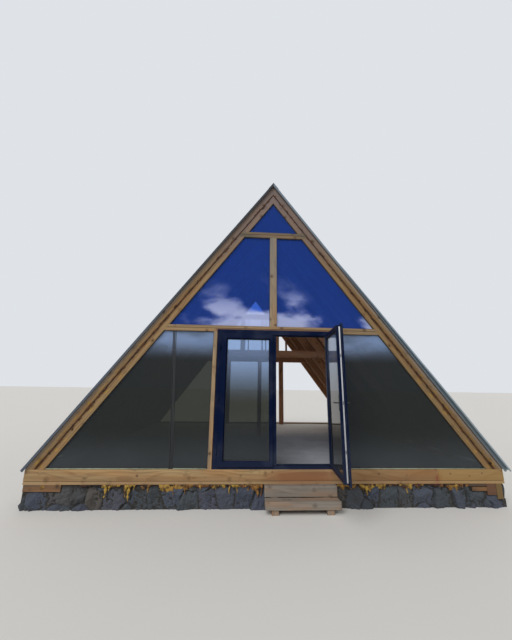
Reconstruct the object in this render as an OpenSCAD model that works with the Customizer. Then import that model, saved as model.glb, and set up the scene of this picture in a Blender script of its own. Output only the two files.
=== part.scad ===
// A-frame cabin under construction: timber frame, glazed gable, double door.
// Units are millimetres, +Z is up, the glazed gable faces -Y.
// Heights in the gable are counted from the top of the base beam.

/* [Main size] */
// Half of the cabin's width, at the top of the base beam
half_w = 3590; // [3000:10:4200]
// Roof pitch from level, in degrees
pitch = 53.8; // [45:0.1:62]
// Length from the glazed gable's face to the open rear end's face
cabin_l = 6300; // [4000:10:9000]
// Height of the base beam's top over the ground
sill_top = 530; // [400:5:800]
// Height of the base beam
sill_h = 200; // [150:5:260]

/* [Rafters] */
// Depth of the gable's outer rafter, square to the slope
outer_d = 99; // [90:1:160]
// Gap between outer rafter and glazing frame
gap_d = 22; // [8:1:30]
// Depth of the glazing frame's rafter
inner_d = 89; // [70:1:120]
// Thickness of the gable's timbers along the cabin
gable_t = 100; // [60:5:150]
// Thickness of an inner rafter along the cabin
rafter_t = 60; // [40:5:100]
// Number of bays between the two gables
bays = 7; // [4:1:10]

/* [Glazed gable] */
// Underside of the top bar
bar_z = 3835; // [3600:5:4000]
// Height of the top bar
bar_h = 100; // [60:5:160]
// Underside of the transom
transom_z = 2090; // [2050:5:2300]
// Height of the transom
transom_h = 100; // [60:5:160]
// Half width of the centre mullion
mullion_r = 58; // [30:1:80]
// Width of a door mullion
door_mullion_w = 58; // [50:1:120]
// Thickness of a pane
pane_t = 24; // [6:1:32]
// Depth that a pane sits in its timber
pane_bite = 12; // [6:1:20]

/* [Double door] */
// How far the door stands to the right of the gable's middle
door_x = 31; // [-100:1:100]
// Half width of the door frame
frame_r = 949; // [840:1:1000]
// Top of the door frame, which is let into the transom
door_top = 2126; // [2100:1:2160]
// Sight width of a jamb
jamb_w = 76; // [60:1:100]
// Height of the threshold
sill_plate = 45; // [30:1:70]
// Sight height of the frame's head
head_h = 78; // [45:1:90]
// How far the right leaf stands open, in degrees
leaf_open = 84.5; // [0:0.5:100]

/* [Ends and steps] */
// Length of a step
step_l = 1070; // [800:5:1400]
// Pitch of the roof sheet's ribs
rib_pitch = 230; // [180:5:600]
// How far the roof stands out over each gable
verge = 45; // [30:5:120]

/* [Hidden] */
$fn = 48;
tp = tan(pitch);
cp = cos(pitch);
sp = sin(pitch);
wood = [0.80, 0.62, 0.38];
dark = [0.12, 0.14, 0.20];
glassc = [0.55, 0.68, 0.80, 0.5];
grey = [0.45, 0.50, 0.54];
stone = [0.55, 0.54, 0.52];
frame_d0 = outer_d + gap_d;
frame_d1 = outer_d + gap_d + inner_d;
// Steps: left end, front faces and undersides of the upper and the lower one
step_x0 = -140;
step_y = -85;
step_z = -349;
tread_y = -250;
tread_z = -460;
// Footing: half its width, its thickness and its set-back from the gable's face
foot_x = half_w - 10;
foot_t = 330;
foot_set = 20;
// Base beams along the gables and along the sides, and where the front one is butted
beam_w = 150;
side_beam_w = 200;
butt_x = 2550;
butt_gap = 3;
floor_z = -40;
// Undersides of the packing blocks, and where the footing steps down under them
left_block_z = -290;
right_block_z = -360;
end_block_z = -414;
left_block_x = -3050;
right_block_x = 3290;
end_block_x = 3440;
bay_l = (cabin_l - 50 - gable_t)/bays;
mid_y = gable_t/2 + 4*bay_l - rafter_t/2;
pane_y = 30;
door_y1 = 90;
// Undersides and heights of the tie beams and of the rear collar beam
mid_tie_z = 2060;
mid_tie_h = 180;
rear_tie_z = 2150;
rear_tie_h = 240;
collar_z = 3780;
collar_h = 185;
foam_w = 12;
door_r = frame_r + foam_w;
axis_x = frame_r - jamb_w + 24;
axis_y = -32;
leaf_gap = 6;
lip_y0 = -26;
lip_y1 = -6;
leaf_y1 = 52;
knuckle_r = 9;
knuckle_h = 45;
pin_r = 4;
pin_play = 0.05;
hinge_z = [220, 1010, 1800];
// Depth of the shadow groove where two stacked timbers meet
seam_d = 9;
seam_h = 8;
// The leaves in plan, from the door's middle: rear corner, glass and meeting edges
back_x = axis_x - 30;
win_x = axis_x - 112;
left_lip = -44;
left_edge = 14;
left_win = -101;
right_lip = -38;
right_edge = 20;
right_back = 32;
right_win = 77;
leaf_z0 = sill_plate + leaf_gap;
leaf_z1 = door_top - head_h - leaf_gap - 2;
lip_x = frame_r - jamb_w + 10;
lip_z0 = sill_plate - 10;
lip_z1 = leaf_z1 + leaf_gap + 10;
rear_y0 = cabin_l - beam_w;
// Air between sloping faces that rest on each other
seat = 0.2;
board_t = 15;
rib_h = 8;
sheet_t = 2;
trim_t = 2;
rib_top = board_t + rib_h + sheet_t + 2*seat;
cap_t = 2.5;
cap_leg = 130;
cap_over = verge + 4;
eave_x = half_w + 5;
// The whole part is moved back so that its plan box is centred on the origin
leaf_tip = axis_y - (axis_x - right_lip)*sin(leaf_open) + (lip_y0 + 3 - axis_y)*cos(leaf_open);
shift_y = -(leaf_tip + cabin_l + cap_over)/2;

// Half width of the gable at height z, on the line d inside the rafter's outer edge
function run_x(d, z) = (half_w*tp - d/cp - z)/tp;
// Height of the peak of that line
function peak_z(d) = half_w*tp - d/cp;

// Extrudes an outline drawn in X and Z from y0 to y1
module slab(pts, y0, y1) {
  translate([0, y1, sill_top]) rotate([90, 0, 0]) linear_extrude(y1 - y0) polygon(pts);
}

// Right hand sloping member between the lines d0 and d1, from height z0 to z1
function band(d0, d1, z0, z1) = z1 >= peak_z(d1)
  ? [[run_x(d0, z0), z0], [0, peak_z(d0)], [0, peak_z(d1)], [run_x(d1, z0), z0]]
  : [[run_x(d0, z0), z0], [run_x(d0, z1), z1], [run_x(d1, z1), z1], [run_x(d1, z0), z0]];

function mirrored(pts) = [for (p = pts) [-p[0], p[1]]];

// A plain timber between two corners, with heights from the base beam's top
module timber(a, b) {
  translate([a[0], a[1], a[2] + sill_top]) cube([b[0] - a[0], b[1] - a[1], b[2] - a[2]]);
}

// Moves the finished piece into the part's frame
module place() {
  translate([0, shift_y, 0]) children();
}

// The same for a piece of the door, drawn from the door's own middle
module at_door() {
  place() translate([door_x, 0, 0]) children();
}

// Groove on the gable's face where two stacked timbers meet at height z
module seam(z) {
  timber([-4000, -1, z - seam_h/2], [4000, seam_d, z + seam_h/2]);
}

// Outlines of the panes, with the edge that sits in the timber
pd = frame_d1 - pane_bite;
top_pane_pts = [[-run_x(pd, bar_z + bar_h - pane_bite), bar_z + bar_h - pane_bite],
  [0, peak_z(pd)], [run_x(pd, bar_z + bar_h - pane_bite), bar_z + bar_h - pane_bite]];
uz0 = transom_z + transom_h - pane_bite;
uz1 = bar_z + pane_bite;
upper_pts = [[mullion_r - pane_bite, uz0], [run_x(pd, uz0), uz0],
  [run_x(pd, uz1), uz1], [mullion_r - pane_bite, uz1]];
lz1 = transom_z + pane_bite;
function lower_outline(x0) = [[x0, -pane_bite], [run_x(pd, -pane_bite), -pane_bite],
  [run_x(pd, lz1), lz1], [x0, lz1]];
side_r = door_x + door_r + door_mullion_w - pane_bite;
side_l = -door_x + door_r + door_mullion_w - pane_bite;
// The joint between the two left panes leans, as on the real front
joint_b = -1529;
joint_t = -1630;
function joint_x(z) = joint_b + (joint_t - joint_b)*z/2055;
joint_r = 9;
left_outer_pts = [[joint_x(-pane_bite) - joint_r, -pane_bite], [joint_x(lz1) - joint_r, lz1],
  [-run_x(pd, lz1), lz1], [-run_x(pd, -pane_bite), -pane_bite]];
left_inner_pts = [[joint_x(-pane_bite) + joint_r, -pane_bite], [-side_l, -pane_bite],
  [-side_l, lz1], [joint_x(lz1) + joint_r, lz1]];

module panes() {
  slab(top_pane_pts, pane_y, pane_y + pane_t);
  slab(upper_pts, pane_y, pane_y + pane_t);
  slab(mirrored(upper_pts), pane_y, pane_y + pane_t);
  slab(lower_outline(side_r), pane_y, pane_y + pane_t);
  slab(mirrored(lower_outline(side_l)), pane_y, pane_y + pane_t);
}

// Stone footing and floor
module front_footing() {
  color(stone) place() slab([[-foot_x, -sill_top], [-foot_x, left_block_z],
    [left_block_x, left_block_z], [left_block_x, -sill_h], [right_block_x, -sill_h],
    [right_block_x, right_block_z], [end_block_x, right_block_z], [end_block_x, end_block_z],
    [foot_x, end_block_z], [foot_x, -sill_top]], foot_set, foot_set + foot_t);
}

module rear_footing() {
  y1 = cabin_l - foot_set;
  color(stone) place() timber([-foot_x, y1 - foot_t, -sill_top], [foot_x, y1, -sill_h]);
}

module side_footings() {
  color(stone) place() for (s = [-1, 1])
    timber([s*(foot_x - foot_t/2) - foot_t/2, foot_set + foot_t, -sill_top],
      [s*(foot_x - foot_t/2) + foot_t/2, cabin_l - foot_set - foot_t, -sill_h]);
}

module floor_slab() {
  x = half_w - side_beam_w;
  color([0.72, 0.70, 0.66]) place() timber([-x, beam_w, -sill_h], [x, rear_y0, floor_z]);
}

// Base beams. The front one is butted, and shows the seam over its bottom plank
module front_sill() {
  color(wood) place() difference() {
    union() {
      timber([-half_w, 0, -sill_h], [butt_x - butt_gap/2, beam_w, 0]);
      timber([butt_x + butt_gap/2, 0, -sill_h], [half_w, beam_w, 0]);
    }
    panes();
    seam(-158);
  }
}

module rear_sill() {
  color(wood) place() timber([-half_w, rear_y0, -sill_h], [half_w, cabin_l, 0]);
}

module side_sills() {
  x = half_w - side_beam_w/2;
  color(wood) place() for (s = [-1, 1])
    timber([s*x - side_beam_w/2, beam_w, -sill_h], [s*x + side_beam_w/2, rear_y0, 0]);
}

// Packing blocks under the base beam's ends, 3 mm clear of the stone beside them
module corner_blocks() {
  air = 3;
  color(wood) place() {
    timber([5 - foot_x, 0, left_block_z], [left_block_x - air, gable_t, -sill_h]);
    timber([right_block_x + air, 0, right_block_z], [end_block_x - air, gable_t, -sill_h]);
    timber([end_block_x + air, 0, end_block_z], [end_block_x + 95, gable_t, -sill_h]);
  }
}

// Gable timbers
module front_rafter_right() {
  color(wood) place() slab(band(0, outer_d, 0, 9000), 0, gable_t);
}

module front_rafter_left() {
  color(wood) place() slab(mirrored(band(0, outer_d, 0, 9000)), 0, gable_t);
}

// The glazing rafter is cut where the top bar runs through to the outer rafter
module glazing_frame_right() {
  color(wood) place() difference() {
    union() {
      slab(band(frame_d0, frame_d1, 0, bar_z), 0, gable_t);
      slab(band(frame_d0, frame_d1, bar_z + bar_h, 9000), 0, gable_t);
    }
    panes();
  }
}

module glazing_frame_left() {
  color(wood) place() difference() {
    union() {
      slab(mirrored(band(frame_d0, frame_d1, 0, bar_z)), 0, gable_t);
      slab(mirrored(band(frame_d0, frame_d1, bar_z + bar_h, 9000)), 0, gable_t);
    }
    panes();
  }
}

// Top bar and transom are each made of two timbers laid on each other
module top_bar() {
  z0 = bar_z;
  z1 = bar_z + bar_h;
  color(wood) place() difference() {
    slab([[-run_x(frame_d0, z0), z0], [run_x(frame_d0, z0), z0],
      [run_x(frame_d0, z1), z1], [-run_x(frame_d0, z1), z1]], 0, gable_t);
    panes();
    seam(bar_z + 54);
  }
}

module centre_mullion() {
  color(wood) place() difference() {
    timber([-mullion_r, 0, transom_z + transom_h], [mullion_r, gable_t, bar_z]);
    panes();
  }
}

// The transom's lower timber is cut back over the door
module transom() {
  d = frame_d1 + seat;
  z0 = transom_z;
  z1 = transom_z + transom_h;
  color(wood) place() difference() {
    slab([[-run_x(d, z0), z0], [run_x(d, z0), z0], [run_x(d, z1), z1], [-run_x(d, z1), z1]],
      0, gable_t);
    panes();
    seam(transom_z + 56);
    timber([door_x - door_r, -1, transom_z - 1], [door_x + door_r, gable_t + 1, door_top]);
  }
}

module door_mullions() {
  mid = door_r + door_mullion_w/2;
  color(wood) place() difference() {
    for (s = [-1, 1]) timber([door_x + s*mid - door_mullion_w/2, 0, 0],
      [door_x + s*mid + door_mullion_w/2, gable_t, transom_z]);
    panes();
  }
}

// Panes
module top_pane() {
  color(glassc) place() slab(top_pane_pts, pane_y, pane_y + pane_t);
}

module upper_right_pane() {
  color(glassc) place() slab(upper_pts, pane_y, pane_y + pane_t);
}

module upper_left_pane() {
  color(glassc) place() slab(mirrored(upper_pts), pane_y, pane_y + pane_t);
}

module lower_right_pane() {
  color(glassc) place() slab(lower_outline(side_r), pane_y, pane_y + pane_t);
}

module lower_left_outer_pane() {
  color(glassc) place() slab(left_outer_pts, pane_y, pane_y + pane_t);
}

module lower_left_inner_pane() {
  color(glassc) place() slab(left_inner_pts, pane_y, pane_y + pane_t);
}

module pane_joint() {
  r = joint_r - seat;
  color(dark) place() slab([[joint_x(0) - r, 0], [joint_x(0) + r, 0],
    [joint_x(transom_z) + r, transom_z], [joint_x(transom_z) - r, transom_z]],
    pane_y - 2, pane_y + pane_t + 2);
}

// Sprayed foam in the gap beside the glazing frame and beside the door frame
module foam_seal(middle) {
  slab(band(outer_d + seat, frame_d0 - seat, 0, 9000), 12, 88);
  timber([middle + frame_r, 12, 0], [middle + door_r, 78, door_top]);
}

module right_foam_seal() {
  color([0.75, 0.60, 0.25]) place() foam_seal(door_x);
}

module left_foam_seal() {
  color([0.75, 0.60, 0.25]) place() mirror([1, 0, 0]) foam_seal(-door_x);
}

// Opening with stepped and bevelled sides: edge lists [depth, how much wider it is there]
module profiled_hole(x0, x1, z0, z1, edge) {
  n = len(edge);
  plan = concat([for (e = edge) [x0 - e[1], e[0]]],
    [for (k = [n - 1 : -1 : 0]) [x1 + edge[k][1], edge[k][0]]]);
  rise = concat([for (e = edge) [e[0], z0 - e[1]]],
    [for (k = [n - 1 : -1 : 0]) [edge[k][0], z1 + edge[k][1]]]);
  translate([0, 0, sill_top]) intersection() {
    translate([0, 0, z0 - 100]) linear_extrude(z1 - z0 + 200) polygon(plan);
    translate([x0 - 100, 0, 0]) rotate([90, 0, 90]) linear_extrude(x1 - x0 + 200) polygon(rise);
  }
}

// Door frame: jambs, head and threshold with a stop behind the leaves
module door_frame() {
  stop_y = leaf_y1 + leaf_gap;
  front = [[-1, 5], [0, 4], [4, 0], [stop_y, 0], [stop_y, -14], [door_y1 - 6, -14],
    [door_y1 + 1, -7]];
  color(dark) at_door() {
    difference() {
      timber([-frame_r, 0, 0], [frame_r, door_y1, door_top]);
      profiled_hole(-frame_r + jamb_w, frame_r - jamb_w, sill_plate, door_top - head_h, front);
    }
    for (s = [0, 1]) mirror([s, 0, 0]) for (z = hinge_z) frame_hinge(z);
  }
}

// The frame's half of a hinge, with the pin that the leaf turns on
module frame_hinge(z) {
  translate([axis_x, axis_y, sill_top + z]) {
    translate([0, 0, -4]) cylinder(r1 = knuckle_r - 4, r2 = knuckle_r, h = 4);
    cylinder(r = knuckle_r, h = knuckle_h);
    cylinder(r = pin_r, h = 2*knuckle_h);
  }
  timber([axis_x, axis_y, z], [axis_x + 16, -4, z + knuckle_h]);
  timber([axis_x, -4, z - 20], [axis_x + 34, 0, z + knuckle_h + 10]);
}

// The leaf's half of a hinge, standing on the frame's half, with a bevelled top
module leaf_hinge(z) {
  z0 = z + knuckle_h + 2;
  translate([axis_x, axis_y, sill_top + z0 + knuckle_h])
    cylinder(r1 = knuckle_r, r2 = knuckle_r - 4, h = 4);
  difference() {
    union() {
      translate([axis_x, axis_y, sill_top + z0]) cylinder(r = knuckle_r, h = knuckle_h);
      timber([lip_x - 40, lip_y0 - 4, z0], [axis_x, lip_y0, z0 + knuckle_h]);
    }
    translate([axis_x, axis_y, sill_top + z0 - 1]) cylinder(r = pin_r + pin_play, h = knuckle_h);
  }
}

// A leaf's frame: an outline in plan and one from the side, with a bevelled hole for its glass
leaf_side = [[lip_y0 + 3, lip_z0], [lip_y0, lip_z0 + 3], [lip_y0, lip_z1 - 3], [lip_y0 + 3, lip_z1],
  [lip_y1, lip_z1], [lip_y1, leaf_z1], [leaf_y1, leaf_z1], [leaf_y1, leaf_z0],
  [lip_y1, leaf_z0], [lip_y1, lip_z0]];
glass_z0 = 120;
glass_z1 = 1963;
glass_y0 = 4;
glass_y1 = glass_y0 + pane_t;
// The glass is held by a bevel in front and by a stepped bead behind
bead = [[lip_y0 - 1, 19], [lip_y0, 18], [lip_y0 + 5, 15], [glass_y0 - 2, 3], [glass_y0, 0],
  [glass_y1, 0], [glass_y1 + 2, 6], [leaf_y1 - 10, 10], [leaf_y1 - 6, 14], [leaf_y1, 16],
  [leaf_y1 + 1, 17]];

module sash(plan, x0, x1) {
  difference() {
    intersection() {
      translate([0, 0, sill_top]) linear_extrude(door_top) polygon(plan);
      translate([-1000, 0, sill_top]) rotate([90, 0, 90]) linear_extrude(2000) polygon(leaf_side);
    }
    profiled_hole(x0, x1, glass_z0, glass_z1, bead);
    sash_glass(x0, x1);
  }
}

module sash_glass(x0, x1) {
  timber([x0 - pane_bite, glass_y0, glass_z0 - pane_bite],
    [x1 + pane_bite, glass_y1, glass_z1 + pane_bite]);
}

// The left leaf ends in a set-back edge that the right leaf's lip closes over
module left_door_leaf() {
  plan = [[-lip_x + 3, lip_y0], [left_lip - 3, lip_y0], [left_lip, lip_y0 + 3], [left_lip, 0],
    [left_edge, 0], [left_edge, leaf_y1], [-back_x, leaf_y1], [-back_x, lip_y1],
    [-lip_x, lip_y1], [-lip_x, lip_y0 + 3]];
  color(dark) at_door() {
    sash(plan, -win_x, left_win);
    mirror([1, 0, 0]) for (z = hinge_z) leaf_hinge(z);
  }
}

module left_door_glass() {
  color(glassc) at_door() sash_glass(-win_x, left_win);
}

// Swings a piece of the right leaf from closed to the pose of the photograph
module swung() {
  translate([axis_x, axis_y, 0]) rotate([0, 0, leaf_open])
    translate([-axis_x, -axis_y, 0]) children();
}

module right_door_leaf() {
  plan = [[right_lip + 3, lip_y0], [lip_x - 3, lip_y0], [lip_x, lip_y0 + 3], [lip_x, lip_y1],
    [back_x, lip_y1], [back_x, leaf_y1], [right_back, leaf_y1], [right_edge, lip_y1],
    [right_lip, lip_y1], [right_lip, lip_y0 + 3]];
  color(dark) at_door() swung() {
    difference() {
      sash(plan, right_win, win_x);
      lock_bar(0);
    }
    for (z = hinge_z) leaf_hinge(z);
  }
}

module right_door_glass() {
  color(glassc) at_door() swung() sash_glass(right_win, win_x);
}

// The lock's face plate, let into the right leaf's free edge
edge_lean = (right_back - right_edge)/(leaf_y1 - lip_y1);
bar_y0 = 0;
bar_y1 = 17;
module lock_bar(air) {
  function edge_x(y) = right_edge + edge_lean*(y - lip_y1);
  translate([0, 0, sill_top + leaf_z0 + 20 + air]) linear_extrude(leaf_z1 - leaf_z0 - 40 - 2*air)
    polygon([[edge_x(bar_y0) - 1 + air, bar_y0 + air], [edge_x(bar_y1) - 1 + air, bar_y1 - air],
      [edge_x(bar_y1) + 2.5 - air, bar_y1 - air], [edge_x(bar_y0) + 2.5 - air, bar_y0 + air]]);
}

// Three slots in the plate are for the hooks and the latch
module lock_strip() {
  color([0.8, 0.8, 0.82]) at_door() swung() difference() {
    lock_bar(seat);
    for (z = [420, 1010, 1620])
      timber([right_edge - 8, bar_y0 + 4, z - 22], [right_edge + 22, bar_y1 - 4, z + 22]);
  }
}

// Lever handles on both faces, pointing to the hinges, with a key cylinder below
module door_handles() {
  plate_r = 13;
  plate_l = 176;
  plate_t = 8;
  lever_r = 9;
  lever_l = 116;
  lever_out = 48;
  color([0.10, 0.10, 0.12]) at_door() swung() for (f = [[lip_y0, -1], [leaf_y1, 1]]) {
    translate([45, f[0], sill_top + 1010]) rotate([-90*f[1], 0, 0]) {
      translate([-plate_r, -plate_l/2, 0]) cube([2*plate_r, plate_l, plate_t]);
      for (s = [-1, 1]) translate([0, s*plate_l/2, 0]) cylinder(r = plate_r, h = plate_t);
      translate([0, f[1]*70, 0]) cylinder(r = 8.5, h = plate_t + 4);
      cylinder(r = 12, h = plate_t + 6);
      cylinder(r = 8, h = lever_out);
      translate([0, 0, lever_out]) rotate([0, 90, 0]) cylinder(r = lever_r, h = lever_l);
      for (x = [0, lever_l]) translate([x, 0, lever_out]) sphere(r = lever_r);
    }
  }
}

// Inner rafters, one bay apart
module rafter_row() {
  for (k = [1 : bays - 1]) {
    y = gable_t/2 + k*bay_l;
    slab(band(0, frame_d1, 0, 9000), y - rafter_t/2, y + rafter_t/2);
  }
}

module right_rafters() {
  color(wood) place() rafter_row();
}

module left_rafters() {
  color(wood) place() mirror([1, 0, 0]) rafter_row();
}

// Outline of a level beam that reaches both slopes, from height z0 to z1
function cross(z0, z1) = [[-run_x(0, z0), z0], [run_x(0, z0), z0],
  [run_x(0, z1), z1], [-run_x(0, z1), z1]];

// Outline of an upright from height z that ends in the slope, between x0 and x1
function prop(x0, x1, z) = [[x0, z], [x1, z], [x1, peak_z(0) - abs(x1)*tp],
  [x0, peak_z(0) - abs(x0)*tp]];

module middle_tie_beam() {
  color(wood) place() slab(cross(mid_tie_z, mid_tie_z + mid_tie_h), mid_y - gable_t, mid_y);
}

module middle_posts() {
  color(wood) place() {
    timber([-45, mid_y - gable_t, floor_z], [55, mid_y, mid_tie_z]);
    for (s = [-1, 1]) slab(prop(s*438, s*553, mid_tie_z + mid_tie_h), mid_y - gable_t, mid_y);
  }
}

// Open rear end
module rear_rafters() {
  color(wood) place() difference() {
    for (s = [0, 1]) mirror([s, 0, 0]) slab(band(0, frame_d1, 0, 9000), rear_y0, rear_y0 + gable_t);
    timber([-1, rear_y0 - 1, 4000], [1, rear_y0 + gable_t + 1, 5000]);
  }
}

module rear_collar_beam() {
  color(wood) place() slab(cross(collar_z, collar_z + collar_h), rear_y0 - gable_t, rear_y0);
}

module rear_tie_beam() {
  color(wood) place() slab(cross(rear_tie_z, rear_tie_z + rear_tie_h), rear_y0 - beam_w, rear_y0);
}

module rear_posts() {
  color(wood) place() for (s = [-1, 1])
    timber([s*970 - beam_w/2, rear_y0 - beam_w, floor_z], [s*970 + beam_w/2, rear_y0, rear_tie_z]);
}

module rear_studs() {
  z0 = rear_tie_z + rear_tie_h;
  color(wood) place() for (s = [-1, 1]) {
    for (stud = [[260, 22], [400, 20]])
      timber([s*stud[0] - stud[1], rear_y0 - gable_t, z0],
        [s*stud[0] + stud[1], rear_y0, collar_z]);
    slab(prop(s*1150, s*1210, z0), rear_y0 - gable_t, rear_y0);
  }
}

// Roof boards, ribbed sheet and ridge cap
module roof_boards() {
  slab(band(-board_t, -seat, 8, 9000), -20, cabin_l + 20);
}

module right_roof_boards() {
  color([0.72, 0.55, 0.36]) place() roof_boards();
}

module left_roof_boards() {
  color([0.72, 0.55, 0.36]) place() mirror([1, 0, 0]) roof_boards();
}

// Stands a piece on the right hand slope: X down the slope, Y along the cabin, Z outward
module on_slope() {
  translate([0, 0, sill_top + peak_z(0)]) rotate([0, pitch, 0]) children();
}

// The sheet's section along the cabin: low ribs with sloping sides
rib_count = floor((cabin_l + 2*verge - 60)/rib_pitch);
function rib_line(z) = concat([[2 - verge, z]],
  [for (k = [0 : rib_count - 1]) for (p = [[0, 0], [10, rib_h], [34, rib_h], [44, 0]])
    [p[0] + k*rib_pitch + 20 - verge, p[1] + z]],
  [[cabin_l + verge - 2, z]]);

module roof_sheet() {
  under = rib_line(board_t + seat);
  top = rib_line(board_t + seat + sheet_t);
  back = [for (k = [len(under) - 1 : -1 : 0]) under[k]];
  on_slope() translate([50, 0, 0]) rotate([90, 0, 90])
    linear_extrude(eave_x/cp - 50) polygon(concat(top, back));
}

module right_roof_sheet() {
  color(grey) place() roof_sheet();
}

module left_roof_sheet() {
  color(grey) place() mirror([1, 0, 0]) roof_sheet();
}

// Folded trim along the slope's edge: a drip leg, a face and a flange over the first rib
module verge_trim() {
  z0 = -8;
  z1 = rib_top + trim_t;
  fold = [[0, z0], [0, z1], [70, z1], [70, z1 - trim_t], [trim_t, z1 - trim_t],
    [trim_t, z0 + trim_t], [14, z0 + trim_t], [14, z0]];
  difference() {
    on_slope() for (s = [0, 1]) translate([0, s*cabin_l, 0]) mirror([0, s, 0])
      translate([-60, -verge, 0]) rotate([90, 0, 90])
        linear_extrude((eave_x + 10)/cp + 60) polygon(fold);
    translate([seat - 500, -500, 0]) cube([500, cabin_l + 1000, 6000]);
  }
}

module right_verge_trim() {
  color(grey) place() verge_trim();
}

module left_verge_trim() {
  color(grey) place() mirror([1, 0, 0]) verge_trim();
}

// Ridge cap: a strip folded along the ridge, over the upper ends of sheets and trims
module ridge_cap() {
  d1 = -(rib_top + trim_t + seat);
  d0 = d1 - cap_t;
  zc = peak_z(d0) - cap_leg;
  color(grey) place() slab([[-run_x(d0, zc), zc], [0, peak_z(d0)], [run_x(d0, zc), zc],
    [run_x(d1, zc), zc], [0, peak_z(d1)], [-run_x(d1, zc), zc]], -cap_over, cabin_l + cap_over);
}

// Timber steps before the door, on bearers that are stepped under them
module upper_step() {
  color(wood) place() timber([step_x0, step_y, step_z], [step_x0 + step_l, foot_set, -sill_h]);
}

module lower_step() {
  color(wood) place()
    timber([step_x0, tread_y, tread_z], [step_x0 + step_l, step_y, step_z]);
}

module step_bearers() {
  y0 = tread_y + 25;
  color(wood) place() for (x = [-50, 732]) translate([x, 0, sill_top])
    rotate([90, 0, 90]) linear_extrude(100) polygon([[y0, -sill_top], [y0, tread_z],
      [step_y, tread_z], [step_y, step_z], [foot_set, step_z], [foot_set, -sill_top]]);
}

front_footing();
rear_footing();
side_footings();
floor_slab();
front_sill();
rear_sill();
side_sills();
corner_blocks();
front_rafter_left();
front_rafter_right();
glazing_frame_left();
glazing_frame_right();
top_bar();
centre_mullion();
transom();
door_mullions();
top_pane();
upper_left_pane();
upper_right_pane();
lower_left_outer_pane();
lower_left_inner_pane();
pane_joint();
lower_right_pane();
door_frame();
left_door_leaf();
left_door_glass();
right_door_leaf();
right_door_glass();
lock_strip();
door_handles();
left_rafters();
right_rafters();
middle_tie_beam();
middle_posts();
rear_rafters();
rear_collar_beam();
rear_tie_beam();
rear_posts();
rear_studs();
left_roof_boards();
right_roof_boards();
left_roof_sheet();
right_roof_sheet();
left_verge_trim();
right_verge_trim();
left_foam_seal();
right_foam_seal();
ridge_cap();
upper_step();
lower_step();
step_bearers();
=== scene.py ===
# Looks of a timber A-frame cabin under construction, seen from its glazed gable.
# Lengths are metres, +Z is up, the gable faces -Y and the roof's ridge runs along Y.
import math

import bpy
import numpy as np
from bpy.props import FloatProperty, FloatVectorProperty, IntProperty, PointerProperty
from mathutils import Matrix, Vector


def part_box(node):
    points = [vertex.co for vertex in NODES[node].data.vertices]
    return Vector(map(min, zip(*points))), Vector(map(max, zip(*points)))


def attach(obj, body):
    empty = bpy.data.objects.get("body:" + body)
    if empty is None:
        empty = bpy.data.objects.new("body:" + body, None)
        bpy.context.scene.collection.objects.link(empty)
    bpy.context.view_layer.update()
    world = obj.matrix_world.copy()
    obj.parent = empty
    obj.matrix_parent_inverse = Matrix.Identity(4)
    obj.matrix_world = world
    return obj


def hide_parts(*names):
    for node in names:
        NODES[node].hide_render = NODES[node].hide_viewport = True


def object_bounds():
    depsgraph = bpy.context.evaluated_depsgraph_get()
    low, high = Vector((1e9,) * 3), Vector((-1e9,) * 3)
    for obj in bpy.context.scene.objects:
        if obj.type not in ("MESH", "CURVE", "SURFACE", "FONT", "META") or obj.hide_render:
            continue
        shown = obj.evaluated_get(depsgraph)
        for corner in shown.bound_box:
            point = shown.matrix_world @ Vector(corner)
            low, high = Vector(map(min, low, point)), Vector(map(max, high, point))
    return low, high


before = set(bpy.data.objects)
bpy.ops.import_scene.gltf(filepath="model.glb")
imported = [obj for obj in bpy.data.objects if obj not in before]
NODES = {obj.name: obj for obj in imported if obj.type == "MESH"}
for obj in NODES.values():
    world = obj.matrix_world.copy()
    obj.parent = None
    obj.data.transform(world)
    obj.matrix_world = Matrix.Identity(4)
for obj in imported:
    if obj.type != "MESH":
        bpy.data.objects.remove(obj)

bl_info = {
    "name": "A-frame cabin finish",
    "version": (1, 0, 0),
    "blender": (4, 5, 0),
    "location": "3D View > Sidebar > Cabin",
    "description": "Timber, glazing, roof and rubble footing for an A-frame cabin",
    "category": "Object",
}

CAD_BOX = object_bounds()
# The base beam under the glazed gable: its face, its underside and its top
FACE_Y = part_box("front_sill")[0].y
SILL_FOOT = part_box("front_sill")[0].z
SILL_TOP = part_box("front_sill")[1].z
REAR_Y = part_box("rear_sill")[1].y
# Half the gable's width, its tip, and the roof's pitch
HALF_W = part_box("front_rafter_right")[1].x
RIDGE_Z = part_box("front_rafter_right")[1].z
PITCH = math.atan2(RIDGE_Z - SILL_TOP, HALF_W)
COS_P, SIN_P = math.cos(PITCH), math.sin(PITCH)
# The door's middle, and the right leaf's hinge line in plan, edges of glass and opening angle
DOOR_X = (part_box("door_frame")[0].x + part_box("door_frame")[1].x)/2
HINGE = (DOOR_X + 0.897, FACE_Y - 0.032)
RIGHT_GLASS = (DOOR_X + 0.077, DOOR_X + 0.785)
LEAF_OPEN = math.radians(84.5)
# How far inside the slope the foamed gap runs, and the seam between the transom's two timbers
GROOVE = 0.110
TRANSOM_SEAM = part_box("transom")[0].z + 0.056
# How deep a pane sits in its timber
PANE_BITE = 0.012
# The roof's two slopes: the sign of their X, and their word in names
SIDES = ((1, "right"), (-1, "left"))


def linear(code):
    """An sRGB hex colour as linear red, green, blue: ((c + 0.055)/1.055)^2.4, or c/12.92 for
    the darkest."""
    parts = [int(code[k:k + 2], 16)/255 for k in (1, 3, 5)]
    return tuple(c/12.92 if c <= 0.04045 else ((c + 0.055)/1.055)**2.4 for c in parts)


def scaled(tone, share):
    """A darker or lighter colour of the same hue."""
    return tuple(min(1, c*share) for c in tone)


def colour(name, code, note):
    """A colour that a user may change, with its default as a hex code."""
    return FloatVectorProperty(name=name, description=note, subtype="COLOR", size=3,
                               min=0, max=1, default=linear(code))


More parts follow.
